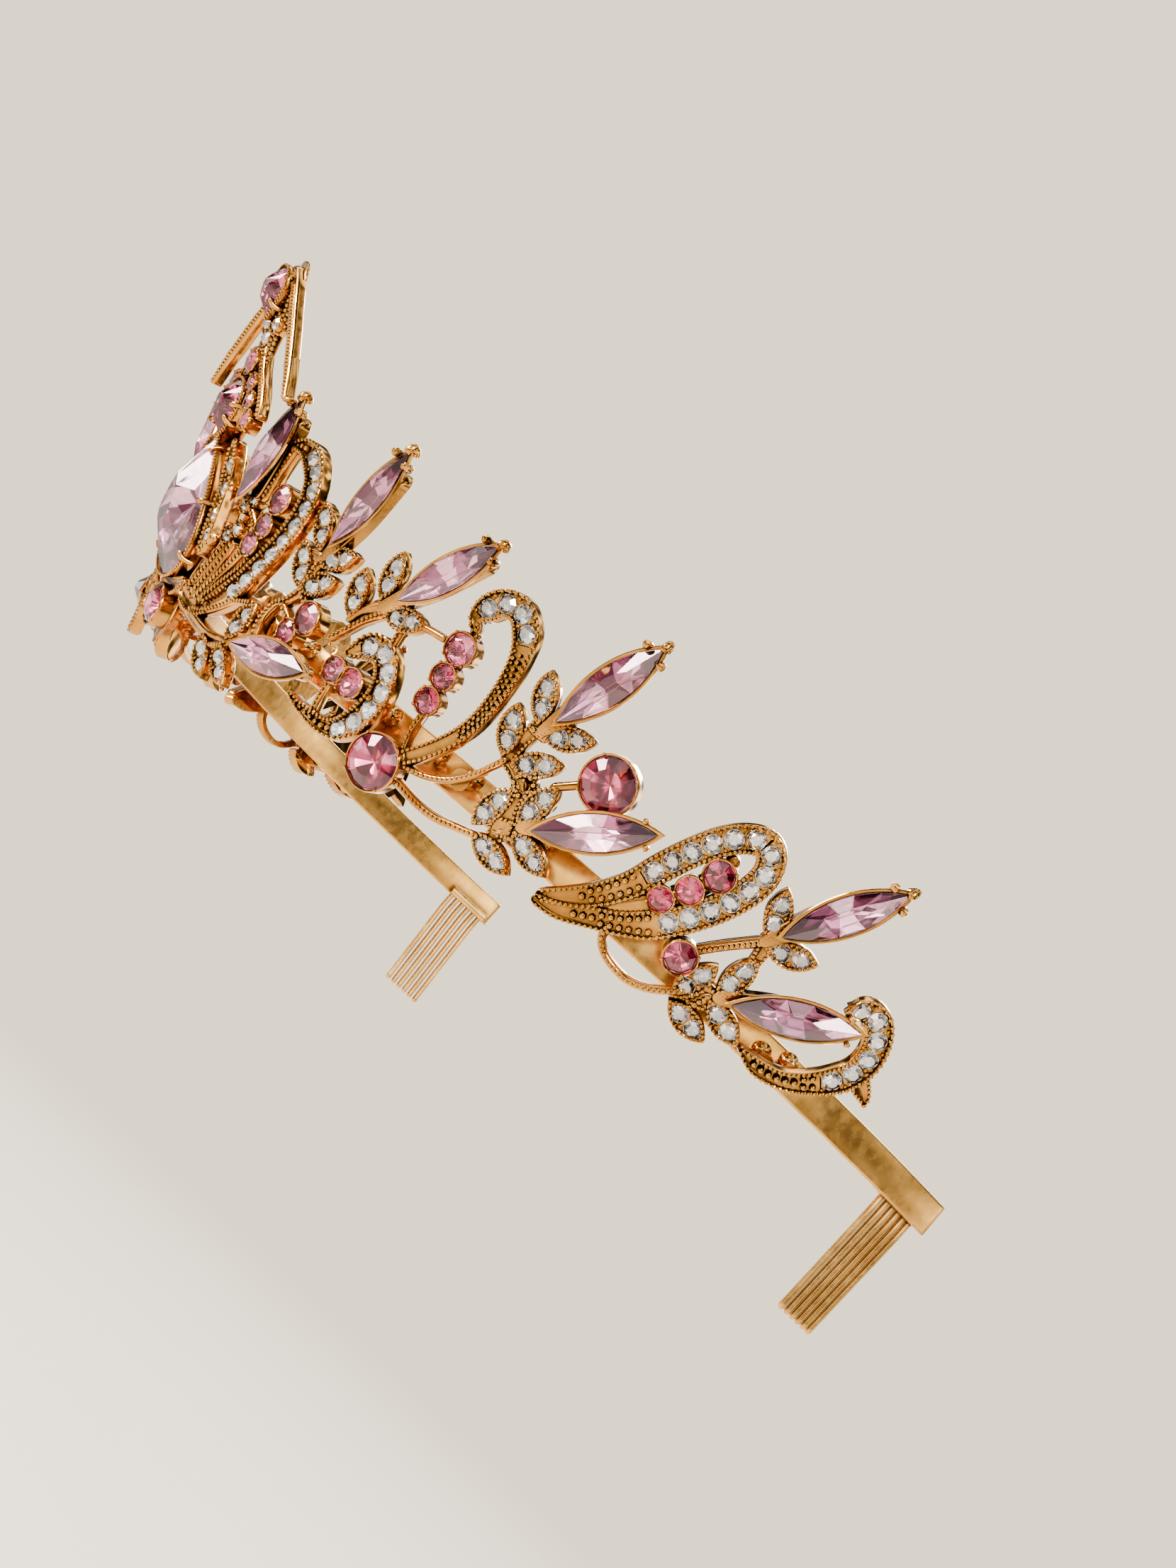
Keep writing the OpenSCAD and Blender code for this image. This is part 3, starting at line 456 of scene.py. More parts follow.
class Shell:
    """Points and faces of one piece while it grows, in millimetres."""

    def __init__(self) -> None:
        """Start with nothing."""
        self.points: List[Array] = []
        self.faces: List[Faces] = []
        self.count = 0

    def add(self, points: Array, faces: Sequence[Array], finish: int = 0, smooth: bool = True) -> None:
        """Add a closed shell, turned so that its faces point outwards.

        The sum of the face fans' signed volumes is negative where the faces point
        inwards, and then they are reversed.

        Args:
            points: Three columns.
            faces: Index arrays, each of faces with the same number of corners.
            finish: Material number.
            smooth: True for smooth shading.
        """
        mid = points.mean(0)
        volume = 0.0
        for f in faces:
            p = points[f] - mid
            for k in range(1, f.shape[1] - 1):
                volume += float(np.einsum("ij,ij->", p[:, 0], np.cross(p[:, k], p[:, k + 1])))
        step = -1 if volume < 0 else 1
        self.points.append(points)
        self.faces += [(f[:, ::step] + self.count, finish, smooth) for f in faces]
        self.count += len(points)

    def add_mixed(self, points: Array, faces: Sequence[Tuple[Array, int]]) -> None:
        """Add a faceted closed shell whose faces have their own materials, outwards already."""
        self.points.append(points)
        self.faces += [(f + self.count, finish, False) for f, finish in faces]
        self.count += len(points)

    def take(self, other: "Shell", plate: Optional[Plate] = None) -> None:
        """Add another shell, carried to a plate's place if one is given."""
        if not other.count:
            return
        pts = np.concatenate(other.points)
        self.points.append(plate.place(pts) if plate else pts)
        self.faces += [(f + self.count, k, smooth) for f, k, smooth in other.faces]
        self.count += len(pts)

    def on(self, plate: Plate) -> "Shell":
        """A copy carried to a plate's place."""
        world = Shell()
        world.take(self, plate)
        return world

    def moved(self, degrees: float, at: Array, z: float) -> "Shell":
        """A copy turned in its plane, then moved to a plane point and a height."""
        copy = Shell()
        copy.points = [turned(np.concatenate(self.points), degrees, at) + np.array([0, 0, z])]
        copy.faces, copy.count = list(self.faces), self.count
        return copy

    def mirrored(self) -> "Shell":
        """The left-hand copy: x changes sign and every face is reversed."""
        twin = Shell()
        twin.points = [np.concatenate(self.points) * np.array([-1.0, 1.0, 1.0])]
        twin.faces = [(f[:, ::-1], k, smooth) for f, k, smooth in self.faces]
        twin.count = self.count
        return twin

    def make(self, name: str, finishes: Sequence[bpy.types.Material],
             sharp: float = SHARP) -> bpy.types.Object:
        """Make the mesh object, in metres.

        Args:
            name: Object name.
            finishes: Materials in the order of the finish numbers.
            sharp: Edges steeper than this many degrees stay crisp.

        Returns:
            The linked object.
        """
        mesh = bpy.data.meshes.new(name)
        co = np.concatenate(self.points) * MM
        loops = np.concatenate([f.ravel() for f, _, _ in self.faces]).astype(np.int32)
        totals = np.concatenate([np.full(len(f), f.shape[1]) for f, _, _ in self.faces]).astype(np.int32)
        starts = np.concatenate([[0], np.cumsum(totals)[:-1]]).astype(np.int32)
        kinds = np.concatenate([np.full(len(f), k) for f, k, _ in self.faces]).astype(np.int32)
        soft = np.concatenate([np.full(len(f), smooth) for f, _, smooth in self.faces])
        mesh.vertices.add(len(co))
        mesh.vertices.foreach_set("co", co.astype(np.float32).ravel())
        mesh.loops.add(len(loops))
        mesh.loops.foreach_set("vertex_index", loops)
        mesh.polygons.add(len(totals))
        for key, values in (("loop_start", starts), ("material_index", kinds), ("use_smooth", soft)):
            mesh.polygons.foreach_set(key, values)
        # one random number per face; the foils turn it into a painted reflection shade
        facet = mesh.attributes.new("facet", "FLOAT", "FACE")
        facet.data.foreach_set("value", np.random.default_rng(SEED).random(len(totals)).astype(np.float32))
        mesh.update(calc_edges=True)
        mesh.validate()
        if soft.any():
            mesh.set_sharp_from_angle(angle=math.radians(sharp))
        for finish in finishes:
            mesh.materials.append(finish)
        return link(name, mesh)


def tube(rings: Array) -> Solid:
    """Close a stack of rings into a solid: quads between rings and a fan on each end.

    Args:
        rings: Array of shape (rings, points of a ring, 3).

    Returns:
        Points and faces.
    """
    n, m, _ = rings.shape
    points = np.concatenate([rings.reshape(-1, 3), rings[0].mean(0)[None], rings[-1].mean(0)[None]])
    i, j = np.meshgrid(np.arange(n - 1), np.arange(m), indexing="ij")
    k = (j + 1) % m
    quads = np.stack([i * m + j, i * m + k, (i + 1) * m + k, (i + 1) * m + j], -1).reshape(-1, 4)
    j = np.arange(m)
    k = (j + 1) % m
    near = np.stack([k, j, np.full(m, n * m)], 1)
    far = np.stack([(n - 1) * m + j, (n - 1) * m + k, np.full(m, n * m + 1)], 1)
    return points, [quads, np.concatenate([near, far])]


def loft(levels: Sequence[Tuple[Array, float]]) -> Solid:
    """A solid whose rings are plane edges, each at its own height."""
    return tube(np.stack([add_column(edge, z) for edge, z in levels]))


def pipe(path: Array, radius: Array, across: Array, n: int = 12) -> Solid:
    """A round wire along a path in space.

    Each ring lies in the plane of two vectors square to the path's direction; the
    first is the direction crossed with a fixed one.

    Args:
        path: Points, three columns.
        radius: Radius at each point.
        across: The fixed direction, never along the path.
        n: Points of a ring.

    Returns:
        Points and faces.
    """
    d = np.gradient(path, axis=0)
    d /= np.linalg.norm(d, axis=1)[:, None]
    a = np.cross(d, across)
    a /= np.linalg.norm(a, axis=1)[:, None]
    b = np.cross(d, a)
    t = np.arange(n) * 2 * math.pi / n
    r = np.asarray(radius, float)[:, None, None]
    rings = path[:, None] + r * (a[:, None] * np.cos(t)[:, None] + b[:, None] * np.sin(t)[:, None])
    return tube(rings)


def grain_form() -> Tuple[Array, Array, Array]:
    """A small ball of two poles and three rings of six points: its points, triangles and quads."""
    t = np.arange(6) * math.pi / 3
    phi = np.radians([-48.0, 0.0, 48.0])
    ring = np.stack([np.outer(np.cos(phi), np.cos(t)), np.outer(np.cos(phi), np.sin(t)),
                     np.outer(np.sin(phi), np.ones(6))], -1).reshape(-1, 3)
    points = np.concatenate([ring, [[0, 0, -1.0], [0, 0, 1.0]]])
    j = np.arange(6)
    k = (j + 1) % 6
    tris = np.concatenate([np.stack([k, j, np.full(6, 18)], 1),
                           np.stack([12 + j, 12 + k, np.full(6, 19)], 1)])
    quads = np.concatenate([np.stack([r + j, r + k, r + 6 + k, r + 6 + j], 1) for r in (0, 6)])
    return points, tris, quads


GRAIN = grain_form()


def grains(shell: Shell, at: Array, radius: Array, along: Optional[Array] = None,
           stretch: float = 1.0, flat: float = 1.0) -> None:
    """Scatter small balls: each is centre + turned and stretched unit ball.

    Args:
        shell: Where they go.
        at: Centres, three columns.
        radius: One radius or one for each.
        along: Direction of stretch in the plane, two columns, or None.
        stretch: Length over width.
        flat: Height over width.
    """
    n = len(at)
    if n == 0:
        return
    ball, tris, quads = GRAIN
    r = np.broadcast_to(np.asarray(radius, float), (n,))
    if along is None:
        along = np.tile([1.0, 0.0], (n, 1))
    along = along / np.maximum(np.linalg.norm(along, axis=1), 1e-9)[:, None]
    u = np.concatenate([along, np.zeros((n, 1))], 1)
    v = np.stack([-along[:, 1], along[:, 0], np.zeros(n)], 1)
    pts = (u[:, None] * ball[None, :, :1] * stretch + v[:, None] * ball[None, :, 1:2]) * r[:, None, None]
    pts[..., 2] += ball[None, :, 2] * r[:, None] * flat
    pts += at[:, None]
    base = (np.arange(n) * len(ball))[:, None, None]
    shell.points.append(pts.reshape(-1, 3))
    shell.faces.append(((tris[None] + base).reshape(-1, 3) + shell.count, 0, True))
    shell.faces.append(((quads[None] + base).reshape(-1, 4) + shell.count, 0, True))
    shell.count += n * len(ball)


def lathe(profile: Sequence[Pair], n: int) -> Solid:
    """A turned solid: each (radius, height) pair is a ring about the z axis."""
    return loft([(circle(n, r), z) for r, z in profile])


def grain_ring(shell: Shell, at: Array, ring: Array, z: float, r: float) -> None:
    """Set grains at the points of a ring round a plane point."""
    grains(shell, add_column(at[:2] + ring, z), r)


def stand(shell: Shell, profile: Sequence[Pair], at: Array, n: int) -> None:
    """Add a turned solid that stands at a plane point."""
    points, faces = lathe(profile, n)
    points[:, :2] += at[:2]
    shell.add(points, faces)


# ---- cast wires ----

def gap_to(points: Array, stones: Array) -> Array:
    """Distance from each point to the nearest stone's circle, negative inside it."""
    return (np.linalg.norm(points[..., None, :2] - stones[:, :2], axis=-1) - stones[:, 2] / 2).min(-1)


def sink(points: Array, stones: Array) -> Array:
    """Push the metal under stones down: inside a stone's circle no point is higher than a pit.

    Args:
        points: Any array of plane points with height in the last column.
        stones: Rows of x, y, diameter.

    Returns:
        The points, changed.
    """
    if len(stones):
        low = np.minimum(points[..., 2], PIT_Z)
        points[..., 2] = np.where(gap_to(points, stones) < 0, low, points[..., 2])
    return points


def seat_block(shell: Shell, centre: Array, r: float, edge: Array) -> None:
    """A tile of metal with a stone's conical pit.

    Its rings run from the foot of the tile's edge up to its face, in to the
    stone's circle along rays from the centre, and down the pit to a point.

    Args:
        shell: Where it goes.
        centre: Middle of the stone.
        r: Radius of the stone.
        edge: The tile's outline, counter-clockwise, two columns.
    """
    ray = edge - centre
    far = np.linalg.norm(ray, axis=1)[:, None]
    ray = ray / far
    levels = ((edge, -1.05), (edge, 0.0), (centre + ray * np.minimum(r + 0.06, far - 0.01), 0.03),
              (centre + ray * (r - 0.01), -0.11), (centre + ray * r * 0.6, -0.7), (centre + ray * 0.1, PIT_Z))
    shell.add(*loft(levels))


def clear_of(points: Array, stones: Array) -> Array:
    """The points that lie in no stone's circle."""
    return points[gap_to(points, stones) > 0] if len(stones) else points


def edge_grains(shell: Shell, line: Array, steps: Array, stones: Array, z: float, r: float) -> None:
    """Set grains along both edges of a wire, where no stone is.

    Args:
        shell: Where they go.
        line: Samples x, y, width.
        steps: Distances of the grains along the line.
        stones: Circles that stay free.
        z: Height of the grains.
        r: Their radius.
    """
    half = np.interp(steps, arc_lengths(line), line[:, 2]) / 2
    for k in (-1, 1):
        at = clear_of(beside(line, steps, k * np.maximum(half - 0.2, 0.02)), stones)
        grains(shell, add_column(at, z), r)


@dataclass(frozen=True)
class Section:
    """Cross-section of a cast wire: rows of (share of half width, own offset, height)."""

    rows: Line

    def sweep(self, line: Array, rounding: bool = True) -> Array:
        """Carry the section along a plane line.

        A section point lies across the line at share * width / 2 + offset, where
        the offset shrinks on a wire narrower than FULL_WIDTH. At the ends the width goes as
        the cosine of an angle while the place goes on by its sine, so they are round.

        Args:
            line: Samples x, y, width.
            rounding: True to round the ends.

        Returns:
            Rings of points.
        """
        if rounding:
            t = np.radians([88.0, 62.0, 32.0])[:, None]
            ends = []
            for last, inner in ((line[0], line[1]), (line[-1], line[-2])):
                d = last[:2] - inner[:2]
                d /= max(np.linalg.norm(d), 1e-9)
                half = last[2] / 2
                ends.append(np.concatenate([last[:2] + d * (half * np.sin(t)), 2 * half * np.cos(t)], 1))
            line = np.concatenate([ends[0], line[:, :3], ends[1][::-1]])
        rows = np.array(self.rows)
        w = line[:, 2:3]
        keep = np.clip(w / FULL_WIDTH, 0.02, 1.0)
        across = rows[None, :, 0] * w / 2 + rows[None, :, 1] * keep
        side = side_ways(line)
        z = np.broadcast_to(rows[None, :, 2], across.shape)
        return np.concatenate([line[:, None, :2] + side[:, None] * across[..., None], z[..., None]], -1)


def both_edges(half: Sequence[Triple]) -> Line:
    """A full section from its left half: the half and its mirror image."""
    return tuple(half) + tuple((-f, -d, z) for f, d, z in reversed(half) if f != 0)


T = SIZE.plate_t
FOOT = ((-1, 0.12, -T), (-1, 0.0, -T + 0.12))
LIP = ((0.0, 0.12), (0.06, 0.26), (0.17, 0.31), (0.29, 0.24), (0.34, 0.05))     # own offset, height
CHANNEL = Section(both_edges(((-1, 0.14, -T), (-1, 0.0, -T + 0.14), *((-1, off, z) for off, z in LIP),
                              (-0.5, 0.1, -0.02))))
WIRE = Section(both_edges((*FOOT, (-1, 0.0, -0.34), (-0.95, 0.0, -0.17), (-0.78, 0.0, 0.0),
                           (-0.45, 0.0, 0.12), (0, 0.0, 0.16))))
TROUGH = Section(both_edges((*FOOT, (-1, 0.0, -0.1), (-0.9, 0.0, 0.06), (-0.7, 0.0, 0.08),
                             (-0.45, 0.0, -0.08), (0, 0.0, -0.16))))
THIN = Section(both_edges((*FOOT, (-1, 0.0, -0.95), (-0.9, 0.0, -0.88), (-0.4, 0.0, -0.86))))
BED = Section(both_edges((*FOOT, (-1, 0.0, 0.3), (-1, 0.12, 0.42), (0, 0.0, 0.45))))


@dataclass(frozen=True)
class Strand:
    """One cast wire of a plate: its milling and its line of [s, h, width]."""

    milling: Milling
    line: Line

    def cast(self, shell: Shell, plate: Plate, stones: Array) -> None:
        """Sweep the wire and set its grains.

        Grains sit at even steps on the crown of the wire, on both its edges, or
        slanted across it, and their size follows the width.

        Args:
            shell: Where it goes.
            plate: The plane that it is cast on.
            stones: Circles under which the wire is cut away.
        """
        line = plane_line(self.line, plate)
        section = {TWIN: TROUGH, LOW: THIN}.get(self.milling, WIRE)
        shell.add(*tube(sink(section.sweep(line), stones)))
        if self.milling in (PLAIN, LOW):
            return
        if self.milling is BEAD:
            g = clear_of(along_line(line, even_steps(line, BEAD_PITCH, 0.1)), stones)
            size = np.random.default_rng(SEED).uniform(0.9, 1.1, len(g))
            grains(shell, add_column(g[:, :2], GRAIN_Z), np.clip(g[:, 2] * 0.32, 0.25, 0.38) * size)
        elif self.milling is TWIN:
            edge_grains(shell, line, even_steps(line, TWIN_PITCH, 0.1), stones, GRAIN_Z, 0.25)
        else:
            g = along_line(line, even_steps(line, ROPE_PITCH, 0.1))
            side = side_ways(g)
            slant = side * 0.8 + np.stack([side[:, 1], -side[:, 0]], 1) * 0.6
            grains(shell, add_column(g[:, :2], GRAIN_Z), 0.3, slant,
                   stretch=float(np.clip(g[:, 2].mean() * 1.6, 1.2, 2.0)), flat=1.2)


@dataclass(frozen=True)
class StoneRow:
    """A channel of chatons: its line, first seat, number, and the grains before them."""

    line: Line
    first: float
    number: int
    balls: Pair = (0.0, 0.0)
    pave: Pair = (0.0, 0.0)
    lip: float = 0.6

    def seats(self, plate: Plate) -> Array:
        """Middles of the chatons: first + k times the seat pitch along the line."""
        return along_line(plane_line(self.line, plate), self.first + np.arange(self.number) * SIZE.seat_pitch)

    def cast(self, shell: Shell, plate: Plate, stones: Array) -> None:
        """Sweep the channel, mill both its edges and set the grains between the stones.

        Args:
            shell: Where it goes.
            plate: The plane that it is cast on.
            stones: Circles under which the channel is cut away.
        """
        line, pitch = plane_line(self.line, plate), SIZE.seat_pitch
        rings = CHANNEL.sweep(line)
        if self.number and len(stones):
            centre = np.concatenate([line[:1, :2].repeat(3, 0), line[:, :2], line[-1:, :2].repeat(3, 0)])
            gap = np.linalg.norm(centre[:, None] - stones[:, :2], axis=-1).min(1)[:, None]
            deep = (gap < pitch * 0.47) & (np.abs(rings[..., 2]) < 0.1)
            rings[..., 2] = np.where(deep, -0.97, rings[..., 2])
        shell.add(*tube(rings if self.number else sink(rings, stones)))
        e = np.linspace(-1, 1, 7)[:-1]
        one = np.ones(6)
        frame_a, frame_b = np.concatenate([e, one, -e, -one]), np.concatenate([-one, e, one, -e])
        for k in range(self.number):
            at = self.first + k * pitch
            wide = float(along_line(line, np.array([at]))[0, 2]) / 2 - 0.3
            edge = beside(line, at + frame_a * pitch / 2, frame_b * wide)
            seat_block(shell, beside(line, np.array([at]), 0.0)[0], SIZE.chaton_d / 2, edge)
        self.mill(shell, line, stones)

    def mill(self, shell: Shell, line: Array, stones: Array) -> None:
        """Set the grains: both lips, the gaps between stones, the ball row and the pave.

        Args:
            shell: Where they go.
            line: Samples of the channel's middle line.
            stones: Circles that stay free.
        """
        run = arc_lengths(line)
        edge_grains(shell, line, even_steps(line, self.lip, 0.05), stones, LIP_Z, self.lip * 0.45)
        between = self.first + (np.arange(self.number + 1 if self.number else 0) - 0.5) * SIZE.seat_pitch
        between = between[(between > 0.6) & (between < run[-1] - 0.6)]
        half = np.interp(between, run, line[:, 2]) / 2
        for k in (-1, 1):
            at = beside(line, between, k * np.minimum(half - 0.56, 0.98))
            grains(shell, add_column(at, 0.06), 0.22)
        if self.balls[1] > self.balls[0]:
            at = np.arange(self.balls[0], self.balls[1], BALL_PITCH)
            wide = np.interp(at, run, line[:, 2]) - 0.9
            pair = wide > 1.5
            size = np.where(pair, np.clip(wide * 0.27, 0.2, 0.4), np.clip(wide * 0.42, 0.22, 0.44))
            for k in (-1, 1):
                keep = pair | (k > 0)
                spot = beside(line, at, k * np.where(pair, wide / 2 - size * 0.9, 0.0))[keep]
                grains(shell, add_column(spot, 0.14), size[keep])
        if self.pave[1] > self.pave[0]:
            at = np.arange(self.pave[0], self.pave[1], PAVE_PITCH)
            wide = np.maximum(np.interp(at, run, line[:, 2]) - 0.85, 0.3)
            rng = np.random.default_rng(SEED)
            for k in (-0.5, 0.0, 0.5):
                spot = beside(line, at + (PAVE_PITCH / 2 if k == 0 else 0.0), k * wide * 0.9)
                spot += rng.uniform(-0.07, 0.07, spot.shape)
                grains(shell, add_column(spot, GRAIN_Z), rng.uniform(0.22, 0.32, len(spot)))


# ---- cut stones ----

@dataclass(frozen=True)
class Cut:
    """How a stone is cut, as shares of its outline and heights in millimetres."""

    sides: int
    table: float
    crown: float
    pavilion: float
    girdle: float = 0.14
    keel: float = 0.0
    plain: bool = False

    def facets(self, edge: Outline) -> Form:
        """The faces of a brilliant-like stone over a foiled back.

        Twice `sides` points lie on the girdle. A middle ring of `sides` points at
        the odd places and a table ring at the even places make stars, bezels and
        upper triangles; the back has lower triangles and mains that run to a point
        or a keel. A ring's point is share * edge(angle); the middle ring's height
        is the one that keeps the bezels flat on a round stone.

        Args:
            edge: Outline points for angles from 0 to 2 pi.

        Returns:
            Points, and index arrays with their finish: 0 glass, 1 foil.
        """
        m = self.sides
        t = np.arange(2 * m) * math.pi / m
        rim = edge(t)
        odd, even = np.arange(m) * 2 + 1, np.arange(m) * 2
        mid_k = (1 + self.table) / 2 + 0.1
        flat = (1 - mid_k * math.cos(math.pi / m)) / (1 - self.table)
        mid_z = self.girdle + self.crown * min(max(flat, 0.2), 0.9)
        low_k, low_z = 0.55, -self.pavilion * 0.5
        keel = edge(t[even]) * np.array([self.keel, self.keel * 0.05])
        if self.keel == 0.0:
            keel = np.zeros((m, 2)) + edge(t[even]) * 0.03

        points = np.concatenate([
            add_column(rim, 0.0), add_column(rim, self.girdle), add_column(rim[odd] * mid_k, mid_z),
            add_column(rim[even] * self.table, self.girdle + self.crown),
            add_column(rim[odd] * low_k, low_z), add_column(keel, -self.pavilion)])
        b, g, mid, top, low, cul = 0, 2 * m, 4 * m, 5 * m, 6 * m, 7 * m
        i = np.arange(m)
        n, e, o = (i + 1) % m, 2 * i, 2 * i + 1
        e2 = (2 * i + 2) % (2 * m)
        j = np.arange(2 * m)
        j2 = (j + 1) % (2 * m)
        if self.plain:
            points = np.concatenate([points[:4 * m], points[top:low], points[cul:]])
            top, cul = 4 * m, 5 * m
            return points, [
                ((top + i)[None], 0), (np.stack([top + i, g + e, g + o, g + e2, top + n], 1), 0),
                (np.stack([g + j, b + j, b + j2, g + j2], 1), 0),
                (np.stack([cul + n, b + e2, b + o, b + e, cul + i], 1), 1), ((cul + i[::-1])[None], 1)]
        glass = [
            (top + i)[None],
            np.stack([top + i, mid + i, top + n], 1),
            np.stack([top + n, mid + i, g + e2, mid + n], 1),
            np.stack([mid + i, g + e, g + o], 1), np.stack([mid + i, g + o, g + e2], 1),
            np.stack([g + j, b + j, b + j2, g + j2], 1)]
        foil = [
            np.stack([low + i, b + o, b + e], 1), np.stack([low + i, b + e2, b + o], 1),
            np.stack([cul + n, low + n, b + e2, low + i], 1),
            np.stack([cul + i, cul + n, low + i], 1), (cul + i[::-1])[None]]
        return points, [(f, 0) for f in glass] + [(f, 1) for f in foil]


def circle_cut(d: float) -> Outline:
    """Outline of a round stone."""
    return lambda t: d / 2 * np.stack([np.cos(t), np.sin(t)], 1)


def marquise_cut(l: float, w: float) -> Outline:
    """Outline of a marquise stone: the arc's angle goes evenly from tip to tip."""
    r = arc_radius(l, w)
    reach = math.asin(min(l / 2 / r, 1.0))

    def edge(t: Array) -> Array:
        """Points of the two arcs, with the tips at 0 and pi."""
        turn = reach * (1 - 2 * (t % math.pi) / math.pi)
        sign = np.where(t % (2 * math.pi) < math.pi - 1e-9, 1.0, -1.0)
        return sign[:, None] * np.stack([r * np.sin(turn), w / 2 - r + r * np.cos(turn)], 1)
    return edge


def drop_cut(l: float, w: float) -> Outline:
    """Outline of a teardrop stone, point up."""
    return lambda t: drop_points(t, l, w)


def set_stone(shell: Shell, form: Form, at: Array, z: float, turn: float) -> None:
    """Place a cut stone on a plate: turned by degrees, moved to a point, girdle at z."""
    pts = turned(form[0], turn, at)
    pts[:, 2] += z
    shell.add_mixed(pts, form[1])


CHATON = Cut(sides=8, table=0.56, crown=0.4, pavilion=0.82, plain=True)
NAVETTE = Cut(sides=10, table=0.36, crown=1.1, pavilion=0.84, keel=0.5, plain=True)
PEAR = Cut(sides=12, table=0.36, crown=2.8, pavilion=1.6, girdle=0.22)
DROP = Cut(sides=10, table=0.4, crown=1.6, pavilion=1.4, girdle=0.18)


def round_cut(d: float) -> Cut:
    """Cut of a round coloured stone: crown a sixth and back a third of its width."""
    return Cut(sides=8 if d < BIG_ROUND else 14, table=0.55, crown=d * 0.15,
               pavilion=min(d * 0.36, 1.45), plain=True)


# ---- finishes ----

Rgb = Triple


class Web:
    """A node tree of a material or a world while it is put together."""

    def __init__(self, owner: Union[bpy.types.Material, bpy.types.World],
                 output: str = "ShaderNodeOutputMaterial") -> None:
        """Start with the owner's tree emptied but for its output node."""
        owner.use_nodes = True
        self.owner, self.tree = owner, owner.node_tree
        self.tree.nodes.clear()
        self.output = self.tree.nodes.new(output)

    def finish(self, shader: bpy.types.NodeSocket) -> Union[bpy.types.Material, bpy.types.World]:
        """Link a shader to the output, and hand over the owner."""
        self.join(shader, self.output.inputs["Surface"])
        return self.owner

    def node(self, kind: str, **sockets: object) -> bpy.types.Node:
        """Add a node; each keyword names a socket (underscores for spaces) and its value."""
        made = self.tree.nodes.new(kind)
        for name, value in sockets.items():
            made.inputs[name.replace("_", " ")].default_value = value
        return made

    def join(self, source: bpy.types.NodeSocket, target: bpy.types.NodeSocket) -> None:
        """Link two sockets."""
        self.tree.links.new(source, target)

    def noise(self, scale: float, detail: float = 3.0) -> bpy.types.NodeSocket:
        """A noise pattern on Object coordinates, in cycles per metre."""
        place = self.node("ShaderNodeTexCoord")
        pattern = self.node("ShaderNodeTexNoise", Scale=scale, Detail=detail)
        self.join(place.outputs["Object"], pattern.inputs["Vector"])
        return pattern.outputs["Fac"]

    def ramp(self, source: bpy.types.NodeSocket, stops: Sequence[Tuple[float, Rgb]]) -> bpy.types.NodeSocket:
        """Colours along a value."""
        made = self.node("ShaderNodeValToRGB")
        ramp = made.color_ramp
        ramp.elements[0].position, ramp.elements[1].position = stops[0][0], stops[-1][0]
        ramp.elements[0].color, ramp.elements[1].color = (*stops[0][1], 1.0), (*stops[-1][1], 1.0)
        for at, colour in stops[1:-1]:
            ramp.elements.new(at).color = (*colour, 1.0)
        self.join(source, made.inputs["Fac"])
        return made.outputs["Color"]

    def span(self, source: bpy.types.NodeSocket, low: float, high: float, start: float = 0.3,
             end: float = 0.7) -> bpy.types.NodeSocket:
        """Carry a value from start..end to low..high."""
        made = self.node("ShaderNodeMapRange")
        made.inputs["From Min"].default_value = start
        made.inputs["From Max"].default_value = end
        made.inputs["To Min"].default_value = low
        made.inputs["To Max"].default_value = high
        self.join(source, made.inputs["Value"])
        return made.outputs["Result"]

    def blend(self, kind: str, share: object, a: object, b: object) -> bpy.types.NodeSocket:
        """Mix two colours; share, a and b are sockets or constants."""
        made = self.tree.nodes.new("ShaderNodeMix")
        made.data_type, made.blend_type = "RGBA", kind
        for value, socket in ((share, made.inputs[0]), (a, made.inputs[6]), (b, made.inputs[7])):
            if isinstance(value, bpy.types.NodeSocket):
                self.join(value, socket)
            else:
                socket.default_value = (*value, 1.0) if isinstance(value, tuple) else value
        return made.outputs[2]

    def bump(self, height: bpy.types.NodeSocket, strength: float, depth: float) -> bpy.types.NodeSocket:
        """Normals from a height pattern."""
        made = self.node("ShaderNodeBump", Strength=strength, Distance=depth)
        self.join(height, made.inputs["Height"])
        return made.outputs["Normal"]


@dataclass(frozen=True)
class Gold:
    """Plated gold: two tones that drift, painted shade in the hollows and small scuffs."""

    name: str
    bright: Rgb
    warm: Rgb
    painted_hollow_shade: Rgb
    smooth: float
    dull: float
    wave: float = 0.13
    reach: float = 0.001

    def make(self) -> bpy.types.Material:
        """Build the material.

        Tone follows a slow pattern, roughness a middling one and the bump a fine one;
        the painted shade in the hollows comes from how closed-in a point is.
        """
        web = Web(bpy.data.materials.new(self.name))
        shader = web.node("ShaderNodeBsdfPrincipled", Metallic=1.0)
        tone = web.ramp(web.noise(DRIFT), [(0.35, self.bright), (0.65, self.warm)])
        # painted shade: closed-in places found by ambient occlusion darken towards the painted hollow shade
        # colour
        closed = web.node("ShaderNodeAmbientOcclusion", Distance=self.reach)
        closed.samples = 6
        depth = web.span(closed.outputs["AO"], 1.0, 0.0, 0.3, 0.95)
        web.join(web.blend("MIX", depth, tone, self.painted_hollow_shade), shader.inputs["Base Color"])
        web.join(web.span(web.noise(SCUFF, 4.0), self.smooth, self.dull), shader.inputs["Roughness"])
        web.join(web.bump(web.noise(PORES, 5.0), self.wave, 0.00012), shader.inputs["Normal"])
        return web.finish(shader.outputs["BSDF"])


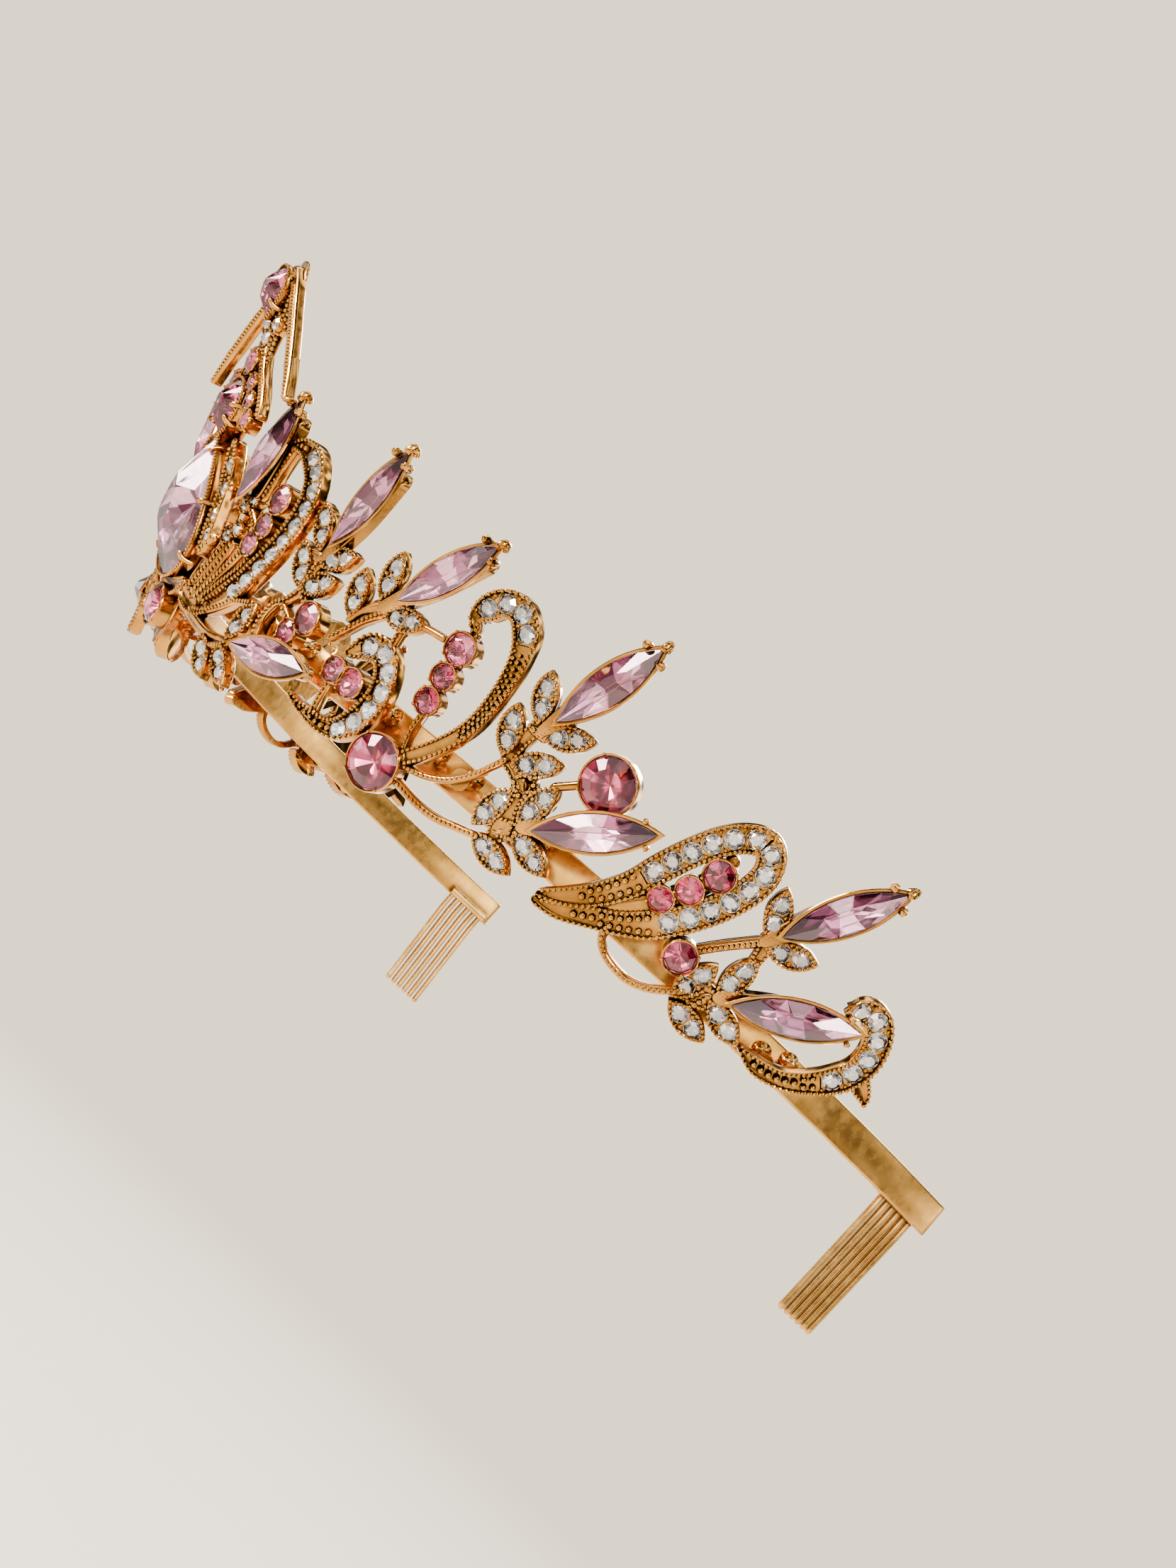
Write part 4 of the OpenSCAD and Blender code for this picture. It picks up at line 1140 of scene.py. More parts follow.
@dataclass(frozen=True)
class Crystal:
    """Cut glass: a tint that drifts a little, and a surface with faint wipe marks."""

    name: str
    tint: Rgb
    edge: Rgb
    mirror: float = 0.0
    index: float = 1.56

    def make(self) -> bpy.types.Material:
        """Build the clear material: light goes in, and the tint changes slowly over the piece."""
        web = Web(bpy.data.materials.new(self.name))
        shader = web.node("ShaderNodeBsdfPrincipled", Metallic=self.mirror, IOR=self.index)
        shader.inputs["Transmission Weight"].default_value = 1.0
        tint = web.ramp(web.noise(TINTS), [(0.35, self.tint), (0.65, self.edge)])
        web.join(tint, shader.inputs["Base Color"])
        web.join(web.span(web.noise(WIPES, 4.0), 0.0, 0.06), shader.inputs["Roughness"])
        return web.finish(shader.outputs["BSDF"])


@dataclass(frozen=True)
class Foil:
    """The mirror coat on a stone's back: every facet gets a painted reflection shade at random, with cloudy
    patches.
    """

    name: str
    deep: Rgb
    middle: Rgb
    bright: Rgb

    def make(self) -> bpy.types.Material:
        """Build the mirror: the painted reflection shade follows the facet's number, clouds a pattern of
        about a millimetre.
        """
        web = Web(bpy.data.materials.new(self.name))
        shader = web.node("ShaderNodeBsdfPrincipled", Metallic=1.0)
        facet = web.node("ShaderNodeAttribute")
        facet.attribute_name = "facet"
        # painted reflection: each facet's random number picks a dark, middle or bright mirror colour
        painted_reflection = web.ramp(facet.outputs["Fac"], [(0.12, self.deep), (0.4, self.middle), (0.66, self.bright)])
        clouds = web.ramp(web.noise(CLOUDS), [(0.3, (1.0, 1.0, 1.0)), (0.7, (0.8, 0.8, 0.82))])
        web.join(web.blend("MULTIPLY", 0.7, painted_reflection, clouds), shader.inputs["Base Color"])
        web.join(web.span(web.noise(PORES), 0.05, 0.22), shader.inputs["Roughness"])
        return web.finish(shader.outputs["BSDF"])


class Tint(Enum):
    """Colours of the stones, with the record's slot of each."""

    CLEAR = "clear_crystal"
    LILAC = "lilac_crystal"
    PINK = "pink_crystal"


class Palette:
    """All finishes of the tiara, made once."""

    def __init__(self) -> None:
        """Make the gold finishes and a glass and a foil of every tint."""
        # each gold's third colour is the painted shade in its hollows
        self.cast = Gold("cast_gold", (0.68, 0.335, 0.07), (0.42, 0.18, 0.027), (0.045, 0.015, 0.001),
                         0.06, 0.19).make()
        self.polished = Gold("polished_gold", (0.72, 0.39, 0.09), (0.52, 0.26, 0.047), (0.15, 0.063, 0.01),
                             0.2, 0.32, 0.03).make()
        self.wire = Gold("comb_wire", (0.76, 0.44, 0.12), (0.56, 0.3, 0.07), (0.16, 0.07, 0.011),
                         0.12, 0.28, 0.07).make()
        self.glass = {
            Tint.CLEAR: Crystal("clear_glass", (1.0, 1.0, 1.0), (0.97, 0.98, 1.0), 0.45).make(),
            Tint.LILAC: Crystal("lilac_glass", (0.93, 0.53, 0.69), (0.9, 0.46, 0.64), 0.06).make(),
            Tint.PINK: Crystal("pink_glass", (0.9, 0.2, 0.36), (0.86, 0.14, 0.29), 0.05).make()}
        # each foil's three colours are painted reflections, dark to bright, picked per facet
        self.foil = {
            Tint.CLEAR: Foil("silver_foil", (0.26, 0.25, 0.25), (0.95, 0.96, 0.98), (1.0, 1.0, 1.0)).make(),
            Tint.LILAC: Foil("lilac_foil", (0.09, 0.03, 0.06), (0.46, 0.27, 0.38), (1.0, 0.97, 0.98)).make(),
            Tint.PINK: Foil("pink_foil", (0.16, 0.025, 0.06), (0.72, 0.34, 0.45), (1.0, 0.97, 0.98)).make()}

    def stone(self, tint: Tint) -> List[bpy.types.Material]:
        """Glass and foil of a tint, in the order of the cut's finish numbers."""
        return [self.glass[tint], self.foil[tint]]


def fit(piece: bpy.types.Object, nodes: Sequence[str]) -> None:
    """Fix a piece to the tiara's one body, in place of its nodes, and report it.

    Args:
        piece: The finished piece.
        nodes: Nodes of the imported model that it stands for.
    """
    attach(piece, "root")
    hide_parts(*nodes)
    LOG.info("%s: %d faces, in place of %s", piece.name, len(piece.data.polygons), ", ".join(nodes))


def fit_both(shell: Shell, name: str, node: str, finishes: Sequence[bpy.types.Material],
             sharp: float = SHARP) -> None:
    """Make a right-hand piece and its mirror image, each in place of its own node."""
    for side, part in (("right", shell), ("left", shell.mirrored())):
        fit(part.make(f"{name}_{side}", finishes, sharp), [f"{node}_{side}"])


# ---- castings ----

def cup(shell: Shell, at: Array, d: float) -> None:
    """A round stone's cup: a turned wall with a thin rolled lip and four small studs."""
    r, z = d / 2 + SIZE.cup_wall * 0.7, SIZE.cup_h
    profile = [(r - 0.22, -T), (r - 0.06, -T + 0.1), (r - 0.05, -0.2), (r, 0.3), (r, z - 0.28),
               (r - 0.02, z - 0.12), (r - 0.1, z - 0.03), (r - 0.2, z - 0.05), (d / 2 + 0.02, z - 0.2),
               (d / 2 - 0.12, -0.2), (d / 2 - 0.4, -0.9), (0.05, -0.95)]
    stand(shell, profile, at, 28 if d < BIG_ROUND else 44)
    grain_ring(shell, at, circle(4, r - 0.08, 0.8), z - 0.02, 0.2)


def collar(shell: Shell, at: Array, d: float) -> None:
    """A low ring round a single chaton with eight grains."""
    r = d / 2 + 0.3
    profile = [(r - 0.05, -T), (r, -T + 0.1), (r, 0.05), (r - 0.1, 0.2), (r - 0.22, 0.16),
               (d / 2 - 0.02, -0.1), (d / 2 - 0.3, -0.92), (0.05, -0.95)]
    stand(shell, profile, at, 20)
    grain_ring(shell, at, circle(8, r - 0.1), 0.18, 0.22)


def leaf_cell(shell: Shell, at: Array, angle: float) -> None:
    """A pointed leaf cell for two chatons: milled lip, two seats, grains at its tips and its waist."""
    l, w = SIZE.leaf_l, SIZE.leaf_w
    steps = ((0.12, -T), (0.0, -T + 0.14), *LIP, (0.42, -0.97))
    points, faces = loft([(oval_edge(l - 1.5 * i, w, i), z) for i, z in steps])
    shell.add(turned(points, angle, at), faces)
    inner = oval_edge(l - 0.5, w, 0.33, 16)
    top = inner[(inner[:, 1] >= 0) & (inner[:, 0] > 0.05)]
    waist = np.array([[0.0, top[-1, 1]], [0.0, 0.0], [0.0, -top[-1, 1]]])
    half = np.concatenate([waist, (top * [1, -1])[::-1][:-1], top])
    for k in (1.0, -1.0):
        block = Shell()
        seat_block(block, np.array([SIZE.seat_pitch / 2, 0.0]), SIZE.chaton_d / 2, half)
        tile = np.concatenate(block.points) * [k, k, 1]
        shell.add(turned(tile, angle, at), [f for f, _, _ in block.faces])
    rim = oval_edge(l - 0.3, w, 0.18, 40)
    rim = np.concatenate([rim, rim[:1]])
    beads = along_line(rim, even_steps(rim, BEAD_PITCH)[:-1])
    tip = l / 2 - 0.62
    extra = np.array([[-tip, 0, GRAIN_Z], [tip, 0, GRAIN_Z], [0, 0.86, 0.08], [0, -0.86, 0.08]])
    spots = np.concatenate([add_column(beads, 0.28), extra])
    sizes = np.concatenate([np.full(len(beads), 0.25), np.full(len(extra), 0.27)])
    grains(shell, turned(spots, angle, at), sizes)


def boss(shell: Shell, at: Array, d: float) -> None:
    """A rosette: a low dished disc inside a ring of nine grains."""
    r = d / 2
    profile = [(r - 0.1, -T), (r, -T + 0.1), (r, -0.25), (r - 0.2, -0.05), (r - 0.7, -0.2), (r - 1.0, -0.5),
               (0.05, -0.55)]
    stand(shell, profile, at, 24)
    grain_ring(shell, at, circle(9, r - 0.36), -0.02, 0.36)


@dataclass
class Casting:
    """One filigree casting of the right side: its cells, wires, cups, posts and chatons."""

    node: str
    s: float
    lift: float = 0.0
    rows: Tuple[StoneRow, ...] = ()
    strands: Tuple[Strand, ...] = ()
    beds: Tuple[Line, ...] = ()
    leaves: Line = ()
    pads: Tuple[Pair, ...] = ()
    bosses: Line = ()
    cups: Line = ()
    posts: Tuple[Pair, ...] = ()

    def plate(self) -> Plate:
        """The casting's plane."""
        return PLAN.plate(self.s, self.lift)

    def seats(self) -> Array:
        """Middles of all chatons on the plane, three columns with the diameter last."""
        plate = self.plate()
        found = [row.seats(plate)[:, :2] for row in self.rows]
        if self.leaves:
            leaf = np.array(self.leaves)
            a = np.radians(leaf[:, 2])
            step = np.stack([np.cos(a), np.sin(a)], 1) * SIZE.seat_pitch / 2
            found += [plate.flat(leaf) - step, plate.flat(leaf) + step]
        if not found:
            return np.zeros((0, 3))
        xy = np.concatenate(found)
        stones = add_column(xy, SIZE.chaton_d)
        if self.pads:
            small = plate.flat(self.pads)
            stones = np.concatenate([stones, add_column(small, SIZE.pad_d)])
        return stones

    def hollows(self) -> Array:
        """Circles under every stone, where the metal is cut away."""
        seats = self.seats()
        if self.cups:
            cups = np.array(self.cups)
            seats = np.concatenate([seats, np.column_stack([self.plate().flat(cups), cups[:, 2]])])
        return seats

    def post(self, shell: Shell, plate: Plate, at: Array) -> None:
        """A soldered post from the plate's back to the band's face.

        Its length t solves |foot - t * normal - axis| = radius - inset in plan.
        """
        start = plate.place(np.array([[at[0], at[1], 0.0]]))[0]
        hub = PLAN.centre(abs(self.s))
        reach = float(PLAN.radius(abs(self.s))) - SIZE.band_inset
        p, d = start[:2] - hub, plate.out[:2]
        b, c = float(p @ d), float(p @ p) - reach ** 2
        a = float(d @ d)
        t = (b - math.sqrt(max(b * b - a * c, 0.0))) / a + 0.25
        r = SIZE.post_d / 2
        profile = [(r * 1.7, -t), (r * 1.35, -t + 0.3), (r, -t + 0.8), (r, -T - 0.7), (r * 1.25, -T - 0.3),
                   (r * 1.5, -T + 0.1)]
        stand(shell, profile, at, 20)

    def metal(self) -> Shell:
        """Everything cast in one plate, in the tiara's frame."""
        plate, flat, holes = self.plate(), Shell(), self.hollows()
        for row in self.rows:
            row.cast(flat, plate, holes)
        for strand in self.strands:
            strand.cast(flat, plate, holes)
        for bed in self.beds:
            flat.add(*tube(BED.sweep(plane_line(bed, plate))))
        for s, h, angle in self.leaves:
            leaf_cell(flat, plate.flat((s, h))[0], angle)
        for s, h in self.pads:
            collar(flat, plate.flat((s, h))[0], SIZE.pad_d)
        for s, h, d in self.bosses:
            boss(flat, plate.flat((s, h))[0], d)
        for s, h, d in self.cups:
            cup(flat, plate.flat((s, h))[0], d)
        for s, h in self.posts:
            self.post(flat, plate, plate.flat((s, h))[0])
        return flat.on(plate)

    def chatons(self) -> Shell:
        """The clear stones, in the tiara's frame."""
        flat = Shell()
        turns = np.random.default_rng(SEED).uniform(0, 45, 64)
        for k, (x, y, d) in enumerate(self.seats()):
            set_stone(flat, CHATON.facets(circle_cut(float(d))), np.array([x, y]), CHATON_Z, float(turns[k]))
        return flat.on(self.plate())

    def build(self, palette: Palette) -> None:
        """Make and dress both sides."""
        fit_both(self.metal(), f"{self.node}_casting", self.node, [palette.cast])
        fit_both(self.chatons(), f"{self.node}_stones", f"{self.node}_chatons", palette.stone(Tint.CLEAR))


@dataclass
class Wing(Casting):
    """The casting beside the crest: stone-set hook, fan of ribs, leaves and three cups."""

    node: str = "wing"
    s: float = 15.0
    lift: float = 0.3
    rows: Tuple[StoneRow, ...] = (
        StoneRow(((13.2, 24.9, 1.2), (15.4, 25.2, 2.2), (17.6, 24.5, ROW), (19.4, 23, ROW), (20.4, 21, ROW),
                  (20.6, 18.8, ROW), (20.3, 16.6, ROW), (19.6, 14.4, ROW), (18.7, 12.4, ROW),
                  (17.6, 10.4, ROW), (16.6, 8.6, ROW), (15.3, 6.9, ROW), (13.6, 5.2, 2.2), (11.6, 3.8, 1.4)),
                 4.6, 10, (0.6, 3.2)),)
    strands: Tuple[Strand, ...] = (
        Strand(ROPE, ((6.3, 4.4, 0.8), (7.4, 6.6, 1.2), (8.6, 9, 1.1), (9.2, 11, 0.8))),
        Strand(ROPE, ((7.5, 3.8, 0.9), (9, 6.6, 1.1), (10.1, 9.4, 1.1), (10.6, 11.4, 0.9))),
        Strand(ROPE, ((8.8, 4, 0.8), (10.6, 7, 1), (12.2, 9.6, 1.2), (13.6, 12, 0.9))),
        Strand(ROPE, ((9.6, 3.6, 0.9), (12, 6.6, 1.1), (14.4, 9.4, 1.1), (15.6, 11.8, 1))),
        Strand(TWIN, ((6.2, 3.6, 2.2), (8, 3.3, 2.8), (10, 3.2, 2.4), (12, 3.6, 1.4))),
        Strand(PLAIN, ((9, 2.4, 1.2), (12, 1.7, 0.9), (15.2, 1.4, 0.9), (18.4, 1.8, 1))),
        Strand(BEAD, ((9.6, 2.8, 1), (12, 3.3, 0.8), (14.4, 4.6, 0.8), (16.8, 6.2, 0.9), (19.8, 7.1, 1))),
        Strand(LOW, ((9.8, 11.2, 2.2), (9.7, 13.4, 2.4), (10.4, 16.2, 2.4), (11, 18.8, 2))),
        Strand(BEAD, ((10.4, 16.2, 1), (12.8, 14.8, 1), (14.9, 13, 1))),
        Strand(BEAD, ((12.3, 18, 1.2), (12.7, 21.4, 0.9), (13.2, 24.4, 1.2))),
        Strand(PLAIN, ((16.4, 18.7, 1), (20, 19.4, 1))),
        Strand(BEAD, ((19.2, 2.4, 1.4), (18.8, 1.4, 1.2), (16.2, 0.3, 1.2), (14.8, 0.2, 1))))
    beds: Tuple = (((10.7, 18.2, 2.2), (10.9, 22, 2.9), (11.5, 27, 2.2)),)
    pads: Tuple = ((10.7, 17.2), (9.4, 16.1), (10.2, 13.2), (9, 12))
    leaves: Tuple = ((19.9, 4.7, 64), (15.8, -1.2, -47), (20.1, -0.7, -39))
    cups: Tuple = ((16.4, 18.7, MID), (15.8, 15.2, SMALL + 0.1), (14.9, 12.6, SMALL))
    posts: Tuple = ((12.4, 5.6), (18.6, 5.6))


@dataclass
class Spray(Casting):
    """Four leaves round a stem, two cups and the beds of two marquises."""

    node: str = "spray"
    s: float = 26.0
    strands: Tuple[Strand, ...] = (
        Strand(PLAIN, ((24.8, 15.6, 1.4), (26.2, 15.4, 2.2), (27.4, 15.2, 1))),
        Strand(BEAD, ((26.6, 15.6, 1.4), (26.2, 13.6, 1.3), (26, 11.6, 1.6), (24.8, 9.8, 1.2),
                              (23.2, 8.6, 1), (22.3, 6.4, 1), (22.6, 4, 1))),
        Strand(BEAD, ((26, 11.6, 1.4), (27.6, 10.6, 1.1), (29.6, 9.6, 1))),
        Strand(BEAD, ((28.1, 7.2, 1), (27.6, 5, 1.2), (27.4, 3.4, 1.2))),
        Strand(BEAD, ((24, 9.2, 1), (26, 8.2, 1), (28, 7.2, 1))))
    beds: Tuple = (((22.2, 2.5, 1.6), (27, 3.3, 2.6), (32.6, 4.3, 1.8)),
                   ((27.1, 16.2, 1.4), (29, 21.6, 2.8), (31, 27.6, 2)))
    leaves: Tuple = ((24.4, 18.8, 122), (29.1, 16.7, 28), (24.3, 14, 122), (28.2, 13.1, 31))
    cups: Tuple = ((29.9, 9.5, MID + 0.1), (28, 6.9, SMALL))
    posts: Tuple = ((22.9, 6), (27.9, 6))


@dataclass
class Crescent(Casting):
    """A stone-set scroll that opens towards the front, three leaves and two cups."""

    node: str = "crescent"
    s: float = 38.5
    rows: Tuple[StoneRow, ...] = (
        StoneRow(((37.2, 9.4, 1.4), (39, 11.1, ROW), (41.2, 11.4, ROW), (42.7, 9.9, ROW), (43.4, 7.6, ROW),
                  (43.1, 5.5, ROW), (42.4, 3.6, ROW), (41.1, 1.9, 2.6), (39.3, 1.1, 2), (37, 1, 1.6),
                  (34.8, 1.2, 1.2), (33.2, 1.6, 0.8)), 2.5, 7, (17.2, 25.0)),)
    strands: Tuple[Strand, ...] = (
        Strand(BEAD, ((33.5, 9.2, 0.8), (34.6, 10.6, 0.9), (36.2, 12.8, 0.9), (38, 14.8, 1.2))),
        Strand(PLAIN, ((34.6, 12.2, 1), (35.4, 13.6, 1), (37.2, 15.2, 1.8), (38.8, 15.4, 1.4))),
        Strand(BEAD, ((41.2, 12.6, 1), (41.2, 14.4, 1))),
        Strand(BEAD, ((36.4, 6.9, 1), (39.9, 6.7, 1.2), (42.6, 6.6, 1))),
        Strand(PLAIN, ((43.2, 16.3, 0.9), (44.6, 16.5, 0.9), (46.2, 16.7, 0.9))),
        Strand(BEAD, ((36.6, 5.6, 0.8), (36.4, 3.4, 0.9), (36.6, 1.2, 0.8))))
    beds: Tuple = (((37.9, 15.4, 1.6), (42, 20.8, 2.8), (45.8, 25.8, 1.8)),)
    leaves: Tuple = ((33.9, 15, 105), (36.7, 18.7, 96), (41, 15.7, 15))
    cups: Tuple = ((36.9, 6.8, SMALL), (39.7, 6.7, SMALL + 0.4))
    posts: Tuple = ((43.2, 5.7), (36.6, 5.4))


@dataclass
class Swan(Casting):
    """A tall hook like a swan's neck over three hanging cups, above a big round stone."""

    node: str = "swan"
    s: float = 52.0
    rows: Tuple[StoneRow, ...] = (
        StoneRow(((48.7, 19.4, 0.8), (48, 20.6, 1.8), (48.5, 22.2, ROW), (49.8, 23.7, ROW), (51.7, 24, ROW),
                  (53.4, 22.5, ROW), (54.3, 20.1, 2.4), (54.7, 17.5, 2.1), (54.7, 14.6, 1.9), (54.4, 12, 1.8),
                  (53.7, 9.7, 1.8), (52.5, 7.4, 1.8), (51.1, 5.4, 1.8), (49.6, 3.7, 1.6)), 3.1, 4,
                 pave=(11.9, 23.0)),)
    strands: Tuple[Strand, ...] = (
        Strand(BEAD, ((50, 3.2, 0.8), (53, 3.9, 0.75), (55.5, 5.3, 0.75), (57.4, 7.4, 0.75),
                              (58.5, 9.3, 0.75), (59.3, 10.8, 0.75))),
        Strand(BEAD, ((50.4, 1.5, 1), (53.5, 1.1, 1), (56.5, 1.2, 1), (59.4, 2, 0.9), (61.6, 2.7, 0.9))),
        Strand(BEAD, ((48.8, 9.6, 0.8), (48.7, 7, 0.8), (49.1, 5, 0.8), (49.8, 3.8, 0.8))),
        Strand(PLAIN, ((48.7, 18.9, 1.2), (48.7, 14, 1.2), (48.8, 10.4, 1.2))))
    cups: Tuple = ((47.4, 1.7, LARGE), (48.7, 17, MID), (48.8, 13.6, SMALL), (48.8, 10.5, SMALL))
    posts: Tuple = ((51.4, 5.8), (56.1, 5.9))


@dataclass
class LeafSpray(Casting):
    """Eight leaves in two whorls, a big round stone and the beds of two marquises."""

    node: str = "leaf"
    s: float = 63.0
    strands: Tuple[Strand, ...] = (
        Strand(TWIN, ((60, 15.8, 1.8), (59.6, 13.6, 1.6), (59.4, 11.2, 1.8), (60.4, 10.6, 1.4),
                              (62, 9.9, 1.6))),
        Strand(BEAD, ((59.8, 15.2, 1.2), (61, 15.4, 1.6))),
        Strand(TWIN, ((62.6, 9.8, 1.6), (62.9, 7.6, 1.3), (63.2, 5, 2.6), (63, 3.6, 1.6))),
        Strand(TWIN, ((63, 5, 2.2), (64.4, 5.6, 2), (65.4, 5.6, 1.6))),
        Strand(PLAIN, ((65, 12, 1), (66, 13, 1), (67.2, 14.2, 1))))
    beds: Tuple = (((60.7, 15.8, 1.4), (62.4, 20.6, 2.8), (64.8, 27.4, 1.8)),
                   ((65.1, 6.7, 1.6), (70.2, 10.6, 2.8), (75, 14.2, 1.8)))
    leaves: Tuple = ((58.8, 18.6, 113), (57.9, 13.7, 111), (63.2, 16.8, 31), (62.2, 12.5, 36),
                     (61.1, 6.2, 77), (64.8, 9.4, 76), (63.9, 2.2, -11), (67.2, 4.9, -15))
    bosses: Tuple = ((62.4, 10, 3),)
    cups: Tuple = ((69.3, 16, LARGE),)
    posts: Tuple = ((62.9, 6.4), (67, 6.6))


@dataclass
class Paisley(Casting):
    """A closed loop of stones that comes to a point at the foot, round three cups."""

    node: str = "paisley"
    s: float = 79.0
    rows: Tuple[StoneRow, ...] = (
        StoneRow(((70.9, 2.7, 1.4), (73, 4.3, 2.1), (75.2, 6.6, 2.6), (77, 9.6, 2.8), (78.1, 12.8, ROW),
                  (79.3, 16.1, ROW), (80.6, 18.9, ROW), (82.1, 21, ROW), (83.7, 22.1, ROW), (84.8, 22, 2.6)),
                 12.2, 6, (4.2, 11.0)),
        StoneRow(((83, 22, 2.2), (84.2, 22.2, ROW), (85.3, 21.5, ROW), (86, 20, ROW), (86, 17.8, ROW),
                  (85.5, 15.6, ROW), (84.7, 13.5, ROW), (83.7, 11.5, ROW), (82.6, 9.7, ROW), (81.1, 7.8, ROW),
                  (79, 6, 2.6), (76.4, 4.4, 2.4), (73.2, 2.6, 2), (70.9, 2, 1.4)), 2.5, 7, (18.2, 27.0)))
    strands: Tuple[Strand, ...] = (
        Strand(PLAIN, ((82.9, 18.4, 1.6), (82.4, 15, 2.2), (81.2, 12, 2.4), (79.6, 9.2, 2.6),
                               (77.6, 7, 2.2))),
        Strand(BEAD, ((78, 4.6, 1.2), (78.6, 3, 0.9), (80.4, 2, 0.9), (83, 1.8, 0.9), (85.2, 2.6, 0.9),
                              (87, 4, 0.9), (88, 5, 0.9))))
    cups: Tuple = ((82.9, 16.6, MID - 0.2), (81.7, 13.4, SMALL), (80.2, 10.7, SMALL - 0.2))
    posts: Tuple = ((75, 5.8), (79.4, 6.4))


@dataclass
class EndSpray(Casting):
    """Six leaves, one cup and the beds of two marquises."""

    node: str = "end_spray"
    s: float = 92.0
    strands: Tuple[Strand, ...] = (
        Strand(TWIN, ((90.6, 14.8, 1.8), (91, 13.6, 1.6), (91.2, 12.2, 1.4))),
        Strand(BEAD, ((86, 8.8, 1.1), (88, 11.5, 1.1), (90.2, 14.2, 1.2))),
        Strand(TWIN, ((88.6, 5, 1.4), (90, 6, 2.8), (91.4, 6, 1.8))),
        Strand(BEAD, ((90.2, 6, 1.6), (89.6, 4.2, 1.6), (89.6, 3, 1.2))))
    beds: Tuple = (((90.4, 14.8, 1.4), (92.6, 20, 2.8), (95.4, 25.8, 1.8)),
                   ((91.2, 7.2, 1.6), (96.6, 10.6, 2.8), (101, 13.2, 1.8)))
    leaves: Tuple = ((89.5, 17.6, 113), (93.3, 15.4, 24), (91.1, 9.9, 84), (88.2, 6.6, 77), (90.5, 2.9, -8),
                     (93.3, 5.4, -16))
    cups: Tuple = ((85.4, 7.6, MID),)
    posts: Tuple = ((89.2, 6), (92.2, 6))


@dataclass
class EndScroll(Casting):
    """The long low scroll at the end that curls up round the last marquise."""

    node: str = "end_scroll"
    s: float = 103.0
    rows: Tuple[StoneRow, ...] = (
        StoneRow(((96.6, 4.7, 0.8), (98.8, 4.5, 1.9), (101, 4.9, 2.1), (102.8, 5.8, 2.3), (104.4, 7.3, 2.6),
                  (105.8, 9.1, ROW), (106.6, 11.2, ROW), (106.5, 13.4, ROW), (105.5, 15.5, ROW),
                  (104, 16.8, ROW), (102.4, 16.5, 2.8), (101.6, 15.2, 1)), 10.9, 6, (2.0, 9.8)),)
    strands: Tuple[Strand, ...] = (
        Strand(TWIN, ((106.6, 11.4, 2.4), (108.2, 10.6, 2.2), (109.4, 10, 1.4), (110, 9.4, 0.4))),)
    posts: Tuple = ((99.6, 4.9), (102.6, 6))


# ---- marquises and round stones ----

def claw(shell: Shell, at: Array, top: float, r: float, lean: Array) -> None:
    """A claw: a tapered wire from the plate that leans over the stone, with a ball tip.

    Args:
        shell: Where it goes.
        at: Its foot, x and y.
        top: Height of the ball.
        r: Radius of the ball.
        lean: How far its tip moves over the stone, x and y.
    """
    profile = [(r * 0.85, 0.0), (r * 0.8, top * 0.4), (r * 0.75, top * 0.75), (r * 0.9, top * 0.9),
               (r, top), (r * 0.86, top + r * 0.5), (r * 0.45, top + r * 0.85), (0.05, top + r)]
    points, faces = lathe(profile, 12)
    share = np.clip(points[:, 2:3] / max(top, 1e-6), 0, 1.2) ** 3
    points[:, :2] += at[:2] + lean * share
    shell.add(points, faces)


class Claws(Enum):
    """How the outer tip of a marquise is held."""

    NONE = 0
    SMALL = 1
    BALLS = 2


